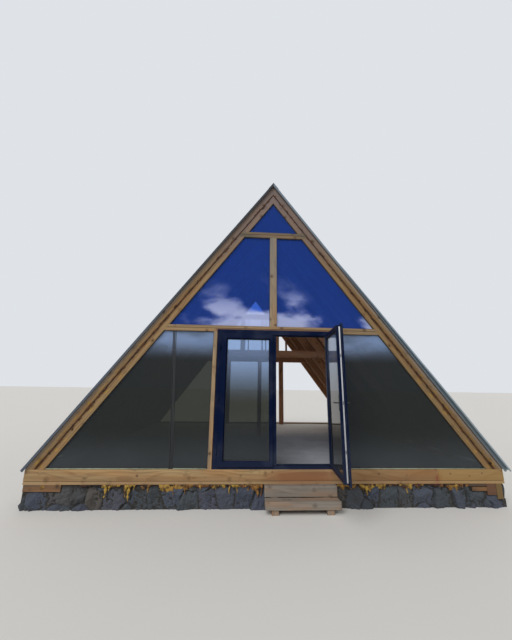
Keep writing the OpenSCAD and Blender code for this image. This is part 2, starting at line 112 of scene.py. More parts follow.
def length(name, value, note):
    """A length that a user may change, in metres."""
    return FloatProperty(name=name, description=note, unit="LENGTH", subtype="DISTANCE",
                         min=0, default=value)


def points(x, y, z):
    """Coordinates, stretched to one shape, as an array of points (..., 3)."""
    return np.stack(np.broadcast_arrays(x, y, z), -1)


def ripple(at, size, seed, waves=18):
    """Smooth random relief of about unit height, at an array of points (..., 3): the sum of
    sine waves of random direction and phase, whose lengths lie round size, over the root of
    half their number."""
    rng = np.random.default_rng(seed)
    heading = rng.normal(size=(waves, 3))
    heading /= np.linalg.norm(heading, axis=1, keepdims=True)
    heading *= 2*np.pi/(size*rng.uniform(0.7, 1.6, (waves, 1)))
    phase = rng.uniform(0, 2*np.pi, waves)
    return np.sin(at @ heading.T + phase).sum(-1)/math.sqrt(waves/2)


def skin(name, grids, around=False, loop=False, capped=False, smooth=True, **layers):
    """A mesh of one or more grids, an array (count, rows, columns, 3). Neighbouring points
    make quads, around closes the columns on themselves, loop closes the rows, and capped puts
    one face on the first and the last row. Its signed volume decides which way faces point.
    layers are numbers for each grid, or for each point, that the material reads by name."""
    grids = np.asarray(grids, float)
    count, rows, cols = grids.shape[:3]
    g, i, j = np.meshgrid(np.arange(count), np.arange(rows - (not loop)),
                          np.arange(cols - (not around)), indexing="ij")

    def at(a, b):
        return (g*rows + a % rows)*cols + b % cols

    quads = np.stack([at(i, j), at(i + 1, j), at(i + 1, j + 1), at(i, j + 1)], -1)
    quads = quads.reshape(-1, 4)
    co = grids.reshape(-1, 3)
    fans = np.concatenate([quads[:, [0, 1, 2]], quads[:, [0, 2, 3]]])
    ends = np.zeros((0, cols), int)
    if capped:
        first = np.arange(count)[:, None]*rows*cols + np.arange(cols)
        last = first + (rows - 1)*cols
        ends = np.concatenate([first, last[:, ::-1]])
        fans = np.concatenate([fans] + [ends[:, [0, k, k + 1]] for k in range(1, cols - 1)])
    a, b, c = (co[fans[:, k]] - co.mean(0) for k in range(3))
    if np.einsum("ij,ij->i", a, np.cross(b, c)).sum() < 0:
        quads, ends = quads[:, ::-1], ends[:, ::-1]
    corners = np.concatenate([quads.ravel(), ends.ravel()]).astype(np.int32)
    starts = np.concatenate([np.arange(len(quads))*4,
                             len(quads)*4 + np.arange(len(ends))*cols])
    mesh = bpy.data.meshes.new(name)
    mesh.vertices.add(len(co))
    mesh.vertices.foreach_set("co", co.astype(np.float32).ravel())
    mesh.loops.add(len(corners))
    mesh.loops.foreach_set("vertex_index", corners)
    mesh.polygons.add(len(starts))
    mesh.polygons.foreach_set("loop_start", starts.astype(np.int32))
    flags = np.zeros(len(starts), bool)
    flags[:len(quads)] = smooth
    mesh.polygons.foreach_set("use_smooth", flags)
    mesh.update(calc_edges=True)
    for key, tone in layers.items():
        tone = np.asarray(tone, float)
        tone = np.broadcast_to(tone.reshape(tone.shape + (1,)*(3 - tone.ndim)),
                               (count, rows, cols))
        layer = mesh.attributes.new(key, "FLOAT", "POINT")
        layer.data.foreach_set("value", np.ascontiguousarray(tone, np.float32).ravel())
    piece = bpy.data.objects.new(name, mesh)
    bpy.context.scene.collection.objects.link(piece)
    return piece


def settle(piece, material, body, slot, *replaced):
    """Gives a piece its material and its body, and hides the nodes that it stands for. slot is
    not used.
    """
    piece.data.materials.append(material)
    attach(piece, body)
    if replaced:
        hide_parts(*replaced)


def section(width, height, radius, side_steps=1, corner_steps=3):
    """Outline of a rounded rectangle, and its outward normals: quarter circles of the radius
    round four corners, joined by straight sides that are cut into side_steps."""
    corners = (np.array([width, height])/2 - radius)*[[1, 1], [-1, 1], [-1, -1], [1, -1]]
    t = np.linspace(0, 1, side_steps + 1)[1:-1, None]
    spots, normals = [], []
    for k, corner in enumerate(corners):
        turn = k*np.pi/2 + np.linspace(0, np.pi/2, corner_steps)
        unit = np.stack([np.cos(turn), np.sin(turn)], -1)
        arc = corner + radius*unit
        far = corners[(k + 1) % 4] + radius*unit[-1]
        spots += [arc, arc[-1]*(1 - t) + far*t]
        normals += [unit, np.repeat(unit[-1:], len(t), 0)]
    return np.concatenate(spots), np.concatenate(normals)


def on_slope(down, along, out, side=1):
    """Points on a roof slope: down the slope from the ridge, along the cabin, and out of the
    slope's plane. x = side (down cos p + out sin p), z = ridge - down sin p + out cos p."""
    return points(side*(down*COS_P + out*SIN_P), along, RIDGE_Z - down*SIN_P + out*COS_P)


def swing(spots):
    """Turns points of the closed right leaf about its hinge line to where the leaf stands."""
    x, y = spots[..., 0] - HINGE[0], spots[..., 1] - HINGE[1]
    c, s = math.cos(LEAF_OPEN), math.sin(LEAF_OPEN)
    return points(HINGE[0] + c*x - s*y, HINGE[1] + s*x + c*y, spots[..., 2])


def outline(node):
    """Corners in X and Z of a flat pane node, in order round its middle."""
    co = np.array([v.co[:] for v in NODES[node].data.vertices])
    flat = np.unique(np.round(co[:, [0, 2]], 4), axis=0)
    mid = flat.mean(0)
    return flat[np.argsort(np.arctan2(flat[:, 1] - mid[1], flat[:, 0] - mid[0]))]


def beading(corners, profile):
    """A bar mitred round a convex outline in X and Z. A profile point (inset, y) lands at each
    corner moved inward by inset (n1 + n2)/(1 + n1.n2), where n1 and n2 are the inward normals
    of the two sides that meet there."""
    side = np.roll(corners, -1, 0) - corners
    side /= np.linalg.norm(side, axis=1, keepdims=True)
    inward = np.stack([-side[:, 1], side[:, 0]], -1)
    before = np.roll(inward, 1, 0)
    lean = (inward + before)/(1 + (inward*before).sum(1, keepdims=True))
    flat = corners[:, None] + lean[:, None]*profile[None, :, :1]
    return points(flat[..., 0], profile[None, :, 1], flat[..., 1])


def corners_inset(corners, depth):
    """A convex outline moved inward by a depth on every side."""
    return beading(corners, np.array([[depth, 0.0]]))[:, 0, [0, 2]]


def quarter_round(back, wide, tall):
    """Profile of a sealing bead, as points (inset, y): a quarter ellipse, wide and tall as
    given, carried back under the pane's frame, with its foot 1 mm inside the glass."""
    arc = np.linspace(0, np.pi/2, 5)
    curve = np.stack([wide*np.sin(arc), -tall*np.cos(arc)], -1)
    return np.concatenate([[[-back, 0.001], [-back, -tall]], curve, [[wide, 0.001]]])


# How a Map Range eases between its ends, what a Mix node mixes, and two kinds of sum: a times
# b, and a times b plus c
SMOOTH = {"interpolation_type": "SMOOTHSTEP"}
TONES = {"data_type": "RGBA"}
TIMES = {"operation": "MULTIPLY"}
TIMES_PLUS = {"operation": "MULTIPLY_ADD"}


def add(tree, kind, *values, **settings):
    """Adds a shader node. values go in order to the inputs that the node uses. In settings, a
    name in capitals is an input's and the others are the node's properties. A node given as a
    value stands for its first output in use, and three numbers or a hex code for an opaque
    colour."""
    made = tree.nodes.new("ShaderNode" + kind)
    for key, value in settings.items():
        if key[0].islower():
            setattr(made, key, value)
    given = list(zip([socket for socket in made.inputs if socket.enabled], values))
    given += [(made.inputs[key.replace("_", " ")], value)
              for key, value in settings.items() if key[0].isupper()]
    for socket, value in given:
        if isinstance(value, bpy.types.Node):
            value = next(socket for socket in value.outputs if socket.enabled)
        if isinstance(value, bpy.types.NodeSocket):
            tree.links.new(value, socket)
        elif socket.type == "RGBA":
            value = linear(value) if isinstance(value, str) else value
            socket.default_value = (*value[:3], 1)
        else:
            socket.default_value = value
    return made


def stain(tree, tone, colour, where, *span, eased=True):
    """Mixes a colour into a tone. Its share is 0 where a value is span[0] and 1 where it is
    span[1], or span[2] and span[3] where those are given."""
    share = add(tree, "MapRange", where, *span, **(SMOOTH if eased else {}))
    return add(tree, "Mix", share, tone, colour, **TONES)


def apart(tree, value, place):
    """How far a value lies from a place."""
    return add(tree, "Math", add(tree, "Math", value, place, operation="SUBTRACT"),
               operation="ABSOLUTE")


def start(name, colour=None, **sockets):
    """A material with a Principled shader, whose sockets are given by name, and its tree."""
    made = bpy.data.materials.new(name)
    made.use_nodes = True
    tree = made.node_tree
    shader = tree.nodes["Principled BSDF"]
    for key, value in sockets.items():
        shader.inputs[key.replace("_", " ")].default_value = value
    if colour is not None:
        shader.inputs["Base Color"].default_value = (*colour, 1)
    return made, tree, shader


def finish(tree, shader, tone, height, strength, depth):
    """Links a material's colour, and its relief as a bump of the given depth in metres."""
    tree.links.new(tone.outputs["Result"], shader.inputs["Base Color"])
    bump = add(tree, "Bump", Strength=strength, Distance=depth, Height=height)
    tree.links.new(bump.outputs[0], shader.inputs["Normal"])


def dress(material, *names):
    """Puts a material on CAD nodes, in their objects' own slots."""
    for name in names:
        for slot in NODES[name].material_slots:
            slot.link = "OBJECT"
            slot.material = material


# Turns of the object's coordinates that lay the pattern's X along the grain
ALONG_X = (0, 0, 0)
ALONG_Y = (0, 0, -math.pi/2)
UPRIGHT = (0, math.pi/2, 0)
UP_RIGHT_SLOPE = (0, math.pi - PITCH, 0)


def timber(name, turn, light, dark, grey, climb=(3.6, 5.3, 0.05, 0.85), folded=False,
           extras=None, knotty=0.75):
    """Sawn spruce as it leaves the saw: soft long streaks from the growth rings, brown
    knots, uneven greying and a dry, matt face. Rings are drawn 24 mm apart, because the real
    3 mm rings are too fine to show. climb gives two heights and the share of grey below and
    above them, knotty how dark the knots are. folded uses |x|, so one pattern fits both
    slopes. extras adds a timber's own marks."""
    made, tree, shader = start(name, Roughness=0.78, IOR=1.45)
    place = add(tree, "TexCoord").outputs["Object"]
    world = add(tree, "SeparateXYZ", place)
    if folded:
        place = add(tree, "CombineXYZ", add(tree, "Math", world, operation="ABSOLUTE"),
                    world.outputs["Y"], world.outputs["Z"])
    grain = add(tree, "Mapping", place, Rotation=turn)
    long = add(tree, "Mapping", grain, Scale=(0.45, 2.6, 2.6))
    wander = add(tree, "TexNoise", long, Scale=1.6, Detail=2.0)
    # Knots stand 0.18 m apart on average in the volume, up to 40 mm across
    knots = add(tree, "TexVoronoi", grain, Scale=5.6)
    knot = add(tree, "MapRange", knots, 0.12, 0.07, **SMOOTH)
    halo = add(tree, "MapRange", knots, 0.32, 0.08, **SMOOTH)
    # Rings: the distance from a pith line outside the section, bent by noise and by knots
    pith = add(tree, "Mapping", grain, Location=(0, 0.31, 0.17), Scale=(0, 1, 1))
    away = add(tree, "VectorMath", pith, operation="LENGTH")
    away = add(tree, "Math", wander, 0.16, away, **TIMES_PLUS)
    away = add(tree, "Math", halo, 0.018, away, **TIMES_PLUS)
    ring = add(tree, "Math", away, 1/0.024, **TIMES)
    ring = add(tree, "Math", ring, operation="FRACT")
    late = add(tree, "Math", add(tree, "MapRange", ring, 0.35, 0.9, **SMOOTH),
               add(tree, "MapRange", ring, 1.0, 0.92, **SMOOTH), **TIMES)
    # Streaks 25 mm wide and about 0.6 m long
    thin = add(tree, "Mapping", grain, Scale=(1.6, 38, 38))
    streak = add(tree, "TexNoise", thin, Scale=1.0, Detail=3.0, Roughness=0.6)
    bands = add(tree, "MapRange", streak, 0.38, 0.66, 0.0, 0.42, **SMOOTH)
    share = add(tree, "Math", late, 0.40, bands, **TIMES_PLUS)
    tone = add(tree, "Mix", share, light, dark, **TONES)
    patch = add(tree, "TexNoise", long, Scale=3.1, Detail=4.0)
    tone = stain(tree, tone, "#a4703c", patch, 0.62, 0.34, 0.0, 0.34)
    if extras:
        tone = extras(tree, tone, world, grain)
    age = add(tree, "Math", add(tree, "MapRange", world.outputs["Z"], *climb, **SMOOTH),
              add(tree, "MapRange", patch, 0.3, 0.62, 0.7, 1.15, **SMOOTH), **TIMES)
    tone = add(tree, "Mix", age, tone, grey, **TONES)
    tone = add(tree, "Mix", add(tree, "Math", halo, 0.35, **TIMES), tone, dark,
               blend_type="MULTIPLY", **TONES)
    tone = add(tree, "Mix", add(tree, "Math", knot, knotty, **TIMES), tone, "#3a2513",
               **TONES)
    # Saw marks 6 mm apart along the grain
    saw = add(tree, "Mapping", grain, Scale=(160, 30, 30))
    teeth = add(tree, "TexNoise", saw, Scale=1.0, Detail=2.0)
    relief = add(tree, "Math", teeth, 0.3, bands, **TIMES_PLUS)
    relief = add(tree, "Math", relief, knot, operation="SUBTRACT")
    finish(tree, shader, tone, relief, 0.5, 0.0015)
    return made


# Where the base beam's red stain has its middle and where its butt joint is, along X
STAIN_X = 0.46
BUTT_X = 2.535
# Its knots that show: place along the beam, depth below its top, radius and darkness
SILL_KNOTS = (
    (-2.0, 0.085, 0.03, 0.75), (-1.01, 0.11, 0.016, 0.4), (-0.49, 0.085, 0.028, 0.45),
    (-0.02, 0.035, 0.022, 0.7), (1.61, 0.062, 0.034, 0.6), (2.05, 0.07, 0.024, 0.5),
    (2.74, 0.06, 0.02, 0.75), (3.04, 0.095, 0.018, 0.6), (3.25, 0.055, 0.02, 0.75))


def sill_marks(tree, tone, world, grain):
    """The base beam is two timbers: a pale bottom plank and a beam that darkens towards it,
    which is painted shade. It is stained red below the door and beside its butt joint, and
    paler beyond that joint."""
    x, z = world.outputs["X"], world.outputs["Z"]
    spread = add(tree, "TexNoise", grain, Scale=5.0, Detail=3.0)
    # Painted shade: the beam darkens from near its top down towards the plank
    tone = stain(tree, tone, "#5f4324", z, SILL_TOP - 0.02, SILL_TOP - 0.155, 0.0, 0.4)
    off = add(tree, "Math", spread, 0.5, apart(tree, x, STAIN_X), **TIMES_PLUS)
    near = add(tree, "MapRange", off, 1.0, 0.5, 0.0, 0.85, **SMOOTH)
    high = add(tree, "MapRange", z, SILL_TOP - 0.01, SILL_TOP - 0.06, 0.35, 1.0, **SMOOTH)
    tone = add(tree, "Mix", add(tree, "Math", near, high, **TIMES), tone, "#80502f", **TONES)
    tone = stain(tree, tone, "#74481c", x, 0.9, 1.4, 0.0, 0.5)
    joint = apart(tree, x, BUTT_X)
    wet = add(tree, "Math", add(tree, "MapRange", joint, 0.10, 0.01, **SMOOTH),
              add(tree, "MapRange", spread, 0.4, 0.6, 0.1, 0.85, **SMOOTH), **TIMES)
    tone = add(tree, "Mix", wet, tone, "#74341e", **TONES)
    tone = stain(tree, tone, "#9b7d42", x, BUTT_X - 0.001, BUTT_X + 0.003, 0.0, 0.45,
                 eased=False)
    for along, below, radius, dark in SILL_KNOTS:
        away = add(tree, "VectorMath", add(tree, "CombineXYZ", x, 0.0, z),
                   (along, 0, SILL_TOP - below), operation="DISTANCE")
        away = add(tree, "Math", spread, radius, away, **TIMES_PLUS)
        tone = stain(tree, tone, "#45270f", away, radius*1.5, radius*0.7, 0.0, dark)
    return stain(tree, tone, "#a88c68", z, SILL_TOP - 0.156, SILL_TOP - 0.160, 0.0, 0.4,
                 eased=False)


def transom_marks(tree, tone, world, grain):
    """The transom's lower timber is red-brown over the door, and its right part has greyed."""
    x, z = world.outputs["X"], world.outputs["Z"]
    over = add(tree, "Math", add(tree, "MapRange", apart(tree, x, DOOR_X), 1.02, 0.97),
               add(tree, "MapRange", z, TRANSOM_SEAM + 0.004, TRANSOM_SEAM, 0.0, 0.75),
               **TIMES)
    tone = stain(tree, tone, "#604b34", x, 0.9, 1.3, 0.3, 0.55)
    return add(tree, "Mix", over, tone, "#6a4330", **TONES)


def slope_marks(tree, tone, world, grain):
    """The slopes carry painted shade that makes them darker than the level timbers, most on the
    right, and are pale grey along their outer edge, partly greyed timber and partly a painted
    highlight that lifts the trim's shadow. Yellow remains of trimmed foam lie beside the
    groove, mostly on the lower half, and brown ones in it. out = z cos p + |x| sin p is the
    same all along a slope, and grows towards its face, where it is ridge cos p."""
    x, z = add(tree, "Math", world, operation="ABSOLUTE"), world.outputs["Z"]
    out = add(tree, "Math", z, COS_P, add(tree, "Math", x, SIN_P, **TIMES), **TIMES_PLUS)
    face = RIDGE_Z*COS_P
    off = apart(tree, out, face - GROOVE)
    blots = add(tree, "TexNoise", grain, Scale=7.0, Detail=4.0, Roughness=0.7)
    # Painted shade: both slopes darker, the right one more
    tone = stain(tree, tone, "#4d3816", world.outputs["X"], -0.05, 0.05, 0.36, 0.5,
                 eased=False)
    # Pale grey along the outer edge: greyed timber, and a painted highlight that lifts the
    # trim's shadow
    tone = stain(tree, tone, "#a3978b", out, face - 0.060, face - 0.005, 0.0, 0.75)
    reach = add(tree, "Math", add(tree, "MapRange", off, 0.10, 0.015, **SMOOTH),
                add(tree, "MapRange", blots, 0.5, 0.62, **SMOOTH), **TIMES)
    reach = add(tree, "Math", reach, add(tree, "MapRange", z, 3.4, 0.8, 0.15, 0.8, **SMOOTH),
                **TIMES)
    tone = add(tree, "Mix", reach, tone, "#a8832a", **TONES)
    dark = add(tree, "Math", add(tree, "MapRange", off, 0.050, 0.012, **SMOOTH),
               add(tree, "MapRange", blots, 0.42, 0.6, 0.4, 0.95, **SMOOTH), **TIMES)
    return add(tree, "Mix", dark, tone, "#4a2c10", **TONES)


def foam(name, light, dark, ochre):
    """Cured polyurethane foam, sprayed and left: swollen lumps with a matt skin that the sun
    has turned from yellow to ochre and brown, each lump to its own degree."""
    made, tree, shader = start(name, Roughness=0.85, IOR=1.45)
    place = add(tree, "TexCoord").outputs["Object"]
    own = add(tree, "Attribute", attribute_name="tone").outputs["Fac"]
    patch = add(tree, "TexNoise", place, Scale=16.0, Detail=4.0)
    # Open pores 7 mm apart
    pores = add(tree, "TexVoronoi", place, Scale=150.0)
    tone = add(tree, "Mix", own, light, ochre, **TONES)
    tone = stain(tree, tone, dark, patch, 0.40, 0.66)
    relief = add(tree, "Math", pores, 0.3, patch, **TIMES_PLUS)
    finish(tree, shader, tone, relief, 0.6, 0.004)
    return made


def pane_glass(name, body, painted_reflection, low, clear, sheen, haze, banks=(0.42, 0.56, 0.55, 0.85),
               torn=0.0):
    """Float glass in a sealed unit: smooth and wet-looking, with soft pale drifts, painted
    reflections of sky and clouds, that begin at height haze[0] and are full at haze[1], and
    dust on the lowest part, as deep as low. clear gives the shares of light that pass outside
    the drifts and in them, sheen the colour that tints its mirror reflection, and banks how
    noise makes the drifts: its two levels, and the share of the drifts' tone at each. torn is
    how much the noise shapes their upper edge."""
    made, tree, shader = start(name, Roughness=0.02, IOR=1.5,
                               Specular_Tint=(*linear(sheen), 1))
    place = add(tree, "TexCoord").outputs["Object"]
    z = add(tree, "SeparateXYZ", place).outputs["Z"]
    wide = add(tree, "Mapping", place, Location=(1.8, 4.0, 0.3), Scale=(0.7, 0.7, 1.3))
    cloud = add(tree, "TexNoise", wide, Scale=1.25, Detail=4.0, Roughness=0.5)
    # Painted reflections of sky and clouds, placed by height and noise
    held = add(tree, "MapRange", z, *haze, **SMOOTH)
    shape = add(tree, "Math", held, torn, cloud, **TIMES_PLUS)
    share = add(tree, "Math", add(tree, "MapRange", shape, *banks, **SMOOTH), held, **TIMES)
    passing = add(tree, "MapRange", share, 0.0, 1.0, *clear)
    tree.links.new(passing.outputs["Result"], shader.inputs["Transmission Weight"])
    tone = add(tree, "Mix", share, body, painted_reflection, **TONES)
    dust = add(tree, "Math", add(tree, "MapRange", z, SILL_TOP + low, SILL_TOP - 0.01, 0.0,
                                 0.6, **SMOOTH),
               add(tree, "MapRange", cloud, 0.3, 0.6, 0.6, 1.0), **TIMES)
    tone = add(tree, "Mix", dust, tone, "#7b8084", **TONES)
    tree.links.new(tone.outputs["Result"], shader.inputs["Base Color"])
    return made


def foil_plastic(name, tone):
    """PVC profiles wrapped in dark blue foil: a fine embossed grain, a low satin sheen, and a
    thin film of dust, more of it low down."""
    made, tree, shader = start(name, Roughness=0.42, IOR=1.5, Specular_IOR_Level=0.05)
    place = add(tree, "TexCoord").outputs["Object"]
    # The foil's grain: lines 5 mm apart, drawn coarser than the real 1 mm so that they show
    fine = add(tree, "Mapping", place, Scale=(220, 220, 9))
    grain = add(tree, "TexNoise", fine, Scale=1.0, Detail=2.0)
    dust = add(tree, "TexNoise", place, Scale=2.3, Detail=5.0)
    low = add(tree, "MapRange", add(tree, "SeparateXYZ", place).outputs["Z"],
              SILL_TOP + 0.5, SILL_TOP, 0.0, 0.05, **SMOOTH)
    film = add(tree, "Math", add(tree, "MapRange", dust, 0.45, 0.7, 0.0, 0.07, **SMOOTH), low,
               operation="ADD")
    finish(tree, shader, add(tree, "Mix", film, tone, "#7c8390", **TONES), grain, 0.25, 0.0004)
    return made


def plain(name, tone, rough, metallic=0.0, speck=0.12, scale=60.0, depth=0.0003):
    """A moulded or coated finish of one tone, broken by faint blotches and a shallow relief.
    scale is how many blotches lie in a metre, and speck how much darker they are."""
    tone = linear(tone) if isinstance(tone, str) else tone
    made, tree, shader = start(name, Roughness=rough, Metallic=metallic, IOR=1.5)
    place = add(tree, "TexCoord").outputs["Object"]
    cloud = add(tree, "TexNoise", place, Scale=scale, Detail=4.0)
    tone = stain(tree, tone, scaled(tone, 1 - 2*speck), cloud, 0.35, 0.65)
    finish(tree, shader, tone, cloud, 0.4, depth)
    return made


def roof_steel(name, tone, upper=None):
    """Steel sheet with a grey polyester paint: satin, slightly waved between its screws, dusty
    near the eaves, each 1.15 m sheet a touch different. upper is a darker tone that a trim
    turns to towards the ridge."""
    made, tree, shader = start(name, Roughness=0.45, IOR=1.5, Specular_IOR_Level=0.2)
    place = add(tree, "TexCoord").outputs["Object"]
    world = add(tree, "SeparateXYZ", place)
    sheet = add(tree, "Math", world.outputs["Y"], 1/1.15, **TIMES)
    sheet = add(tree, "Math", sheet, operation="FLOOR")
    vary = add(tree, "TexWhiteNoise", sheet, noise_dimensions="1D").outputs["Value"]
    # Washed streaks down the slope, about 0.2 m wide
    streaks = add(tree, "Mapping", place, Scale=(0.8, 4.0, 0.8))
    wash = add(tree, "TexNoise", streaks, Scale=1.3, Detail=4.0)
    body = add(tree, "Mix", add(tree, "Math", vary, 0.18, **TIMES), tone, scaled(tone, 0.8),
               **TONES)
    if upper:
        body = stain(tree, body, upper, world.outputs["Z"], 2.2, 3.8)
    dirt = add(tree, "Math", add(tree, "MapRange", wash, 0.45, 0.75, **SMOOTH),
               add(tree, "MapRange", world.outputs["Z"], 5.5, 0.6, 0.04, 0.16), **TIMES)
    wave = add(tree, "TexNoise", place, Scale=2.6, Detail=1.0)
    finish(tree, shader, add(tree, "Mix", dirt, body, "#7d7869", **TONES), wave, 0.5, 0.006)
    return made


def rubble(name, stone, warm, joint):
    """Split field stone: each stone its own grey, brown or blue, with mineral specks 18 mm
    across, a rough broken face, and dark mortar and earth in the joints."""
    made, tree, shader = start(name, Roughness=0.9, IOR=1.5)
    place = add(tree, "TexCoord").outputs["Object"]
    own = add(tree, "Attribute", attribute_name="tone").outputs["Fac"]
    hollow = add(tree, "Attribute", attribute_name="hollow").outputs["Fac"]
    speck = add(tree, "TexNoise", place, Scale=55.0, Detail=5.0, Roughness=0.7)
    cloud = add(tree, "TexNoise", place, Scale=9.0, Detail=4.0)
    tone = stain(tree, stone, warm, own, 0.5, 1.0, eased=False)
    fleck = add(tree, "Math", add(tree, "Math", own, 7.3, **TIMES), operation="FRACT")
    tone = add(tree, "Mix", add(tree, "Math", fleck, 0.5, **TIMES), tone, scaled(stone, 0.4),
               **TONES)
    cool = add(tree, "Math", add(tree, "Math", own, 13.7, **TIMES), operation="FRACT")
    tone = stain(tree, tone, "#424861", cool, 0.5, 1.0, 0.0, 0.5, eased=False)
    tone = stain(tree, tone, scaled(stone, 2.2), speck, 0.45, 0.75, 0.0, 0.45)
    tone = stain(tree, tone, joint, cloud, 0.5, 0.72, 0.0, 0.5)
    tone = add(tree, "Mix", add(tree, "Math", hollow, 0.85, **TIMES), tone,
               scaled(joint, 0.45), **TONES)
    # Painted shade: the stones darken just under the beam
    z = add(tree, "SeparateXYZ", place).outputs["Z"]
    high = add(tree, "Math", cloud, -0.09, z, **TIMES_PLUS)
    tone = stain(tree, tone, "#16130f", high, SILL_FOOT - 0.115, SILL_FOOT - 0.055, 0.0, 0.8)
    finish(tree, shader, tone, add(tree, "Math", speck, 0.4, cloud, **TIMES_PLUS), 0.8, 0.02)
    return made


def screed(name, tone):
    """Power-floated cement screed: pale grey with damp clouds 0.7 m across, sand grit of 25 mm,
    drawn coarser than the real so that it shows, and a pale part towards the open rear end that
    is painted daylight."""
    made, tree, shader = start(name, Roughness=0.7, IOR=1.5)
    place = add(tree, "TexCoord").outputs["Object"]
    cloud = add(tree, "TexNoise", place, Scale=1.4, Detail=6.0, Roughness=0.6)
    grit = add(tree, "TexNoise", place, Scale=40.0, Detail=3.0)
    body = stain(tree, tone, scaled(tone, 0.72), cloud, 0.35, 0.68)
    body = stain(tree, body, "#c9c4ba", grit, 0.5, 0.8, 0.0, 0.3)
    # Painted daylight: the floor turns pale cream towards the open rear end
    y = add(tree, "SeparateXYZ", place).outputs["Y"]
    back = add(tree, "Math", cloud, 1.6, y, **TIMES_PLUS)
    body = stain(tree, body, "#f3eedf", back, REAR_Y - 2.6, REAR_Y - 0.8, 0.0, 0.95)
    finish(tree, shader, body, add(tree, "Math", grit, 0.3, cloud, **TIMES_PLUS), 0.4, 0.003)
    return made


class CabinFinish(bpy.types.PropertyGroup):
    """Tones and sizes of the cabin that a user may change"""

    spruce_light: colour("Spruce, light", "#a98d62", "Early wood of the sawn spruce")
    spruce_dark: colour("Spruce, dark", "#6f5536", "Late wood and streaks of the sawn spruce")
    spruce_grey: colour("Spruce, greyed", "#7c7e78", "Weathered tone toward the ridge")
    slope_grey: colour("Slopes, greyed", "#6b5e5c", "Weathered tone of the gable's slopes")
    bar_grey: colour("Top bar, greyed", "#474540", "Weathered tone of the bar at the top")
    upright_grey: colour("Uprights, greyed", "#6d6c69", "Weathered tone of the uprights")
    # The inner timbers are a brighter, warmer copy of the spruce: painted daylight inside the
    # cabin
    lit_inside_light: colour("Inner timber, light", "#cf9a70", "Light tone of rafters and posts")
    lit_inside_dark: colour("Inner timber, dark", "#8f5a3c", "Dark tone of rafters and posts")
    # The roof boards are a darker copy of the spruce: painted shade on the sheathing between
    # the rafters
    shaded_board_light: colour("Roof boards, light", "#7d573a", "Light tone of the roof boards")
    shaded_board_dark: colour("Roof boards, dark", "#55361f", "Dark tone of the roof boards")
    step_light: colour("Steps, light", "#867a6f", "Light tone of the weathered steps")
    step_dark: colour("Steps, dark", "#5d5247", "Dark tone of the weathered steps")
    frame_tone: colour("Door frame", "#04112e", "Foil of the door frame and its leaves")
    roof_tone: colour("Roof sheet", "#4c565d", "Paint of the roof sheet")
    trim_tone: colour("Trim", "#4b5460", "Paint of the left trim and the ridge cap")
    # The right verge is a lighter copy of the trim's paint: painted light on a face that the
    # flashing shades
    lit_verge_tone: colour("Right verge", "#7f8e98", "Paint of the right trim and its flashing")
    # The upper panes' blue and pale drifts, and the pale blue top of the lower panes, are
    # painted reflections of sky and clouds
    pane_painted_sky_blue: colour("Upper panes", "#4470da", "Blue of the upper panes")
    pane_painted_cloud: colour("Upper panes, drifts", "#d0daff", "Pale drifts in the upper panes")
    pane_top_painted_sky: colour("Lower panes, top", "#b5d2ff", "Pale blue top of the lower panes")
    pane_low: colour("Lower panes", "#4a4b40", "Tone of the lower and the door panes")
    foam_light: colour("Foam, light", "#a38438", "Fresh parts of the cured foam")
    foam_ochre: colour("Foam, ochre", "#7b5126", "Foam that the sun has turned")
    foam_dark: colour("Foam, dark", "#3c2717", "Darkened skin of the cured foam")
    stone_tone: colour("Stone", "#3d4349", "Main grey of the rubble")
    stone_warm: colour("Stone, warm", "#4b453f", "Warmer stones of the rubble")
    mortar_tone: colour("Mortar", "#34322e", "Mortar and earth between the stones")
    screed_tone: colour("Floor", "#979ca4", "Screed of the floor")
    board_pitch: length("Board pitch", 0.1285, "From one roof board to the next")
    board_thick: length("Board thickness", 0.015, "Thickness of a roof board")
    stone_size: length("Stone size", 0.27, "Usual width of a stone in the footing")
    stone_bulge: length("Stone bulge", 0.05, "How far a stone may stand out of the footing")
    rib_pitch: length("Rib pitch", 0.23, "From one rib of the roof sheet to the next")
    screw_rows: IntProperty(name="Screw rows", description="Rows of roof screws on a slope",
                            default=9, min=2, max=20)


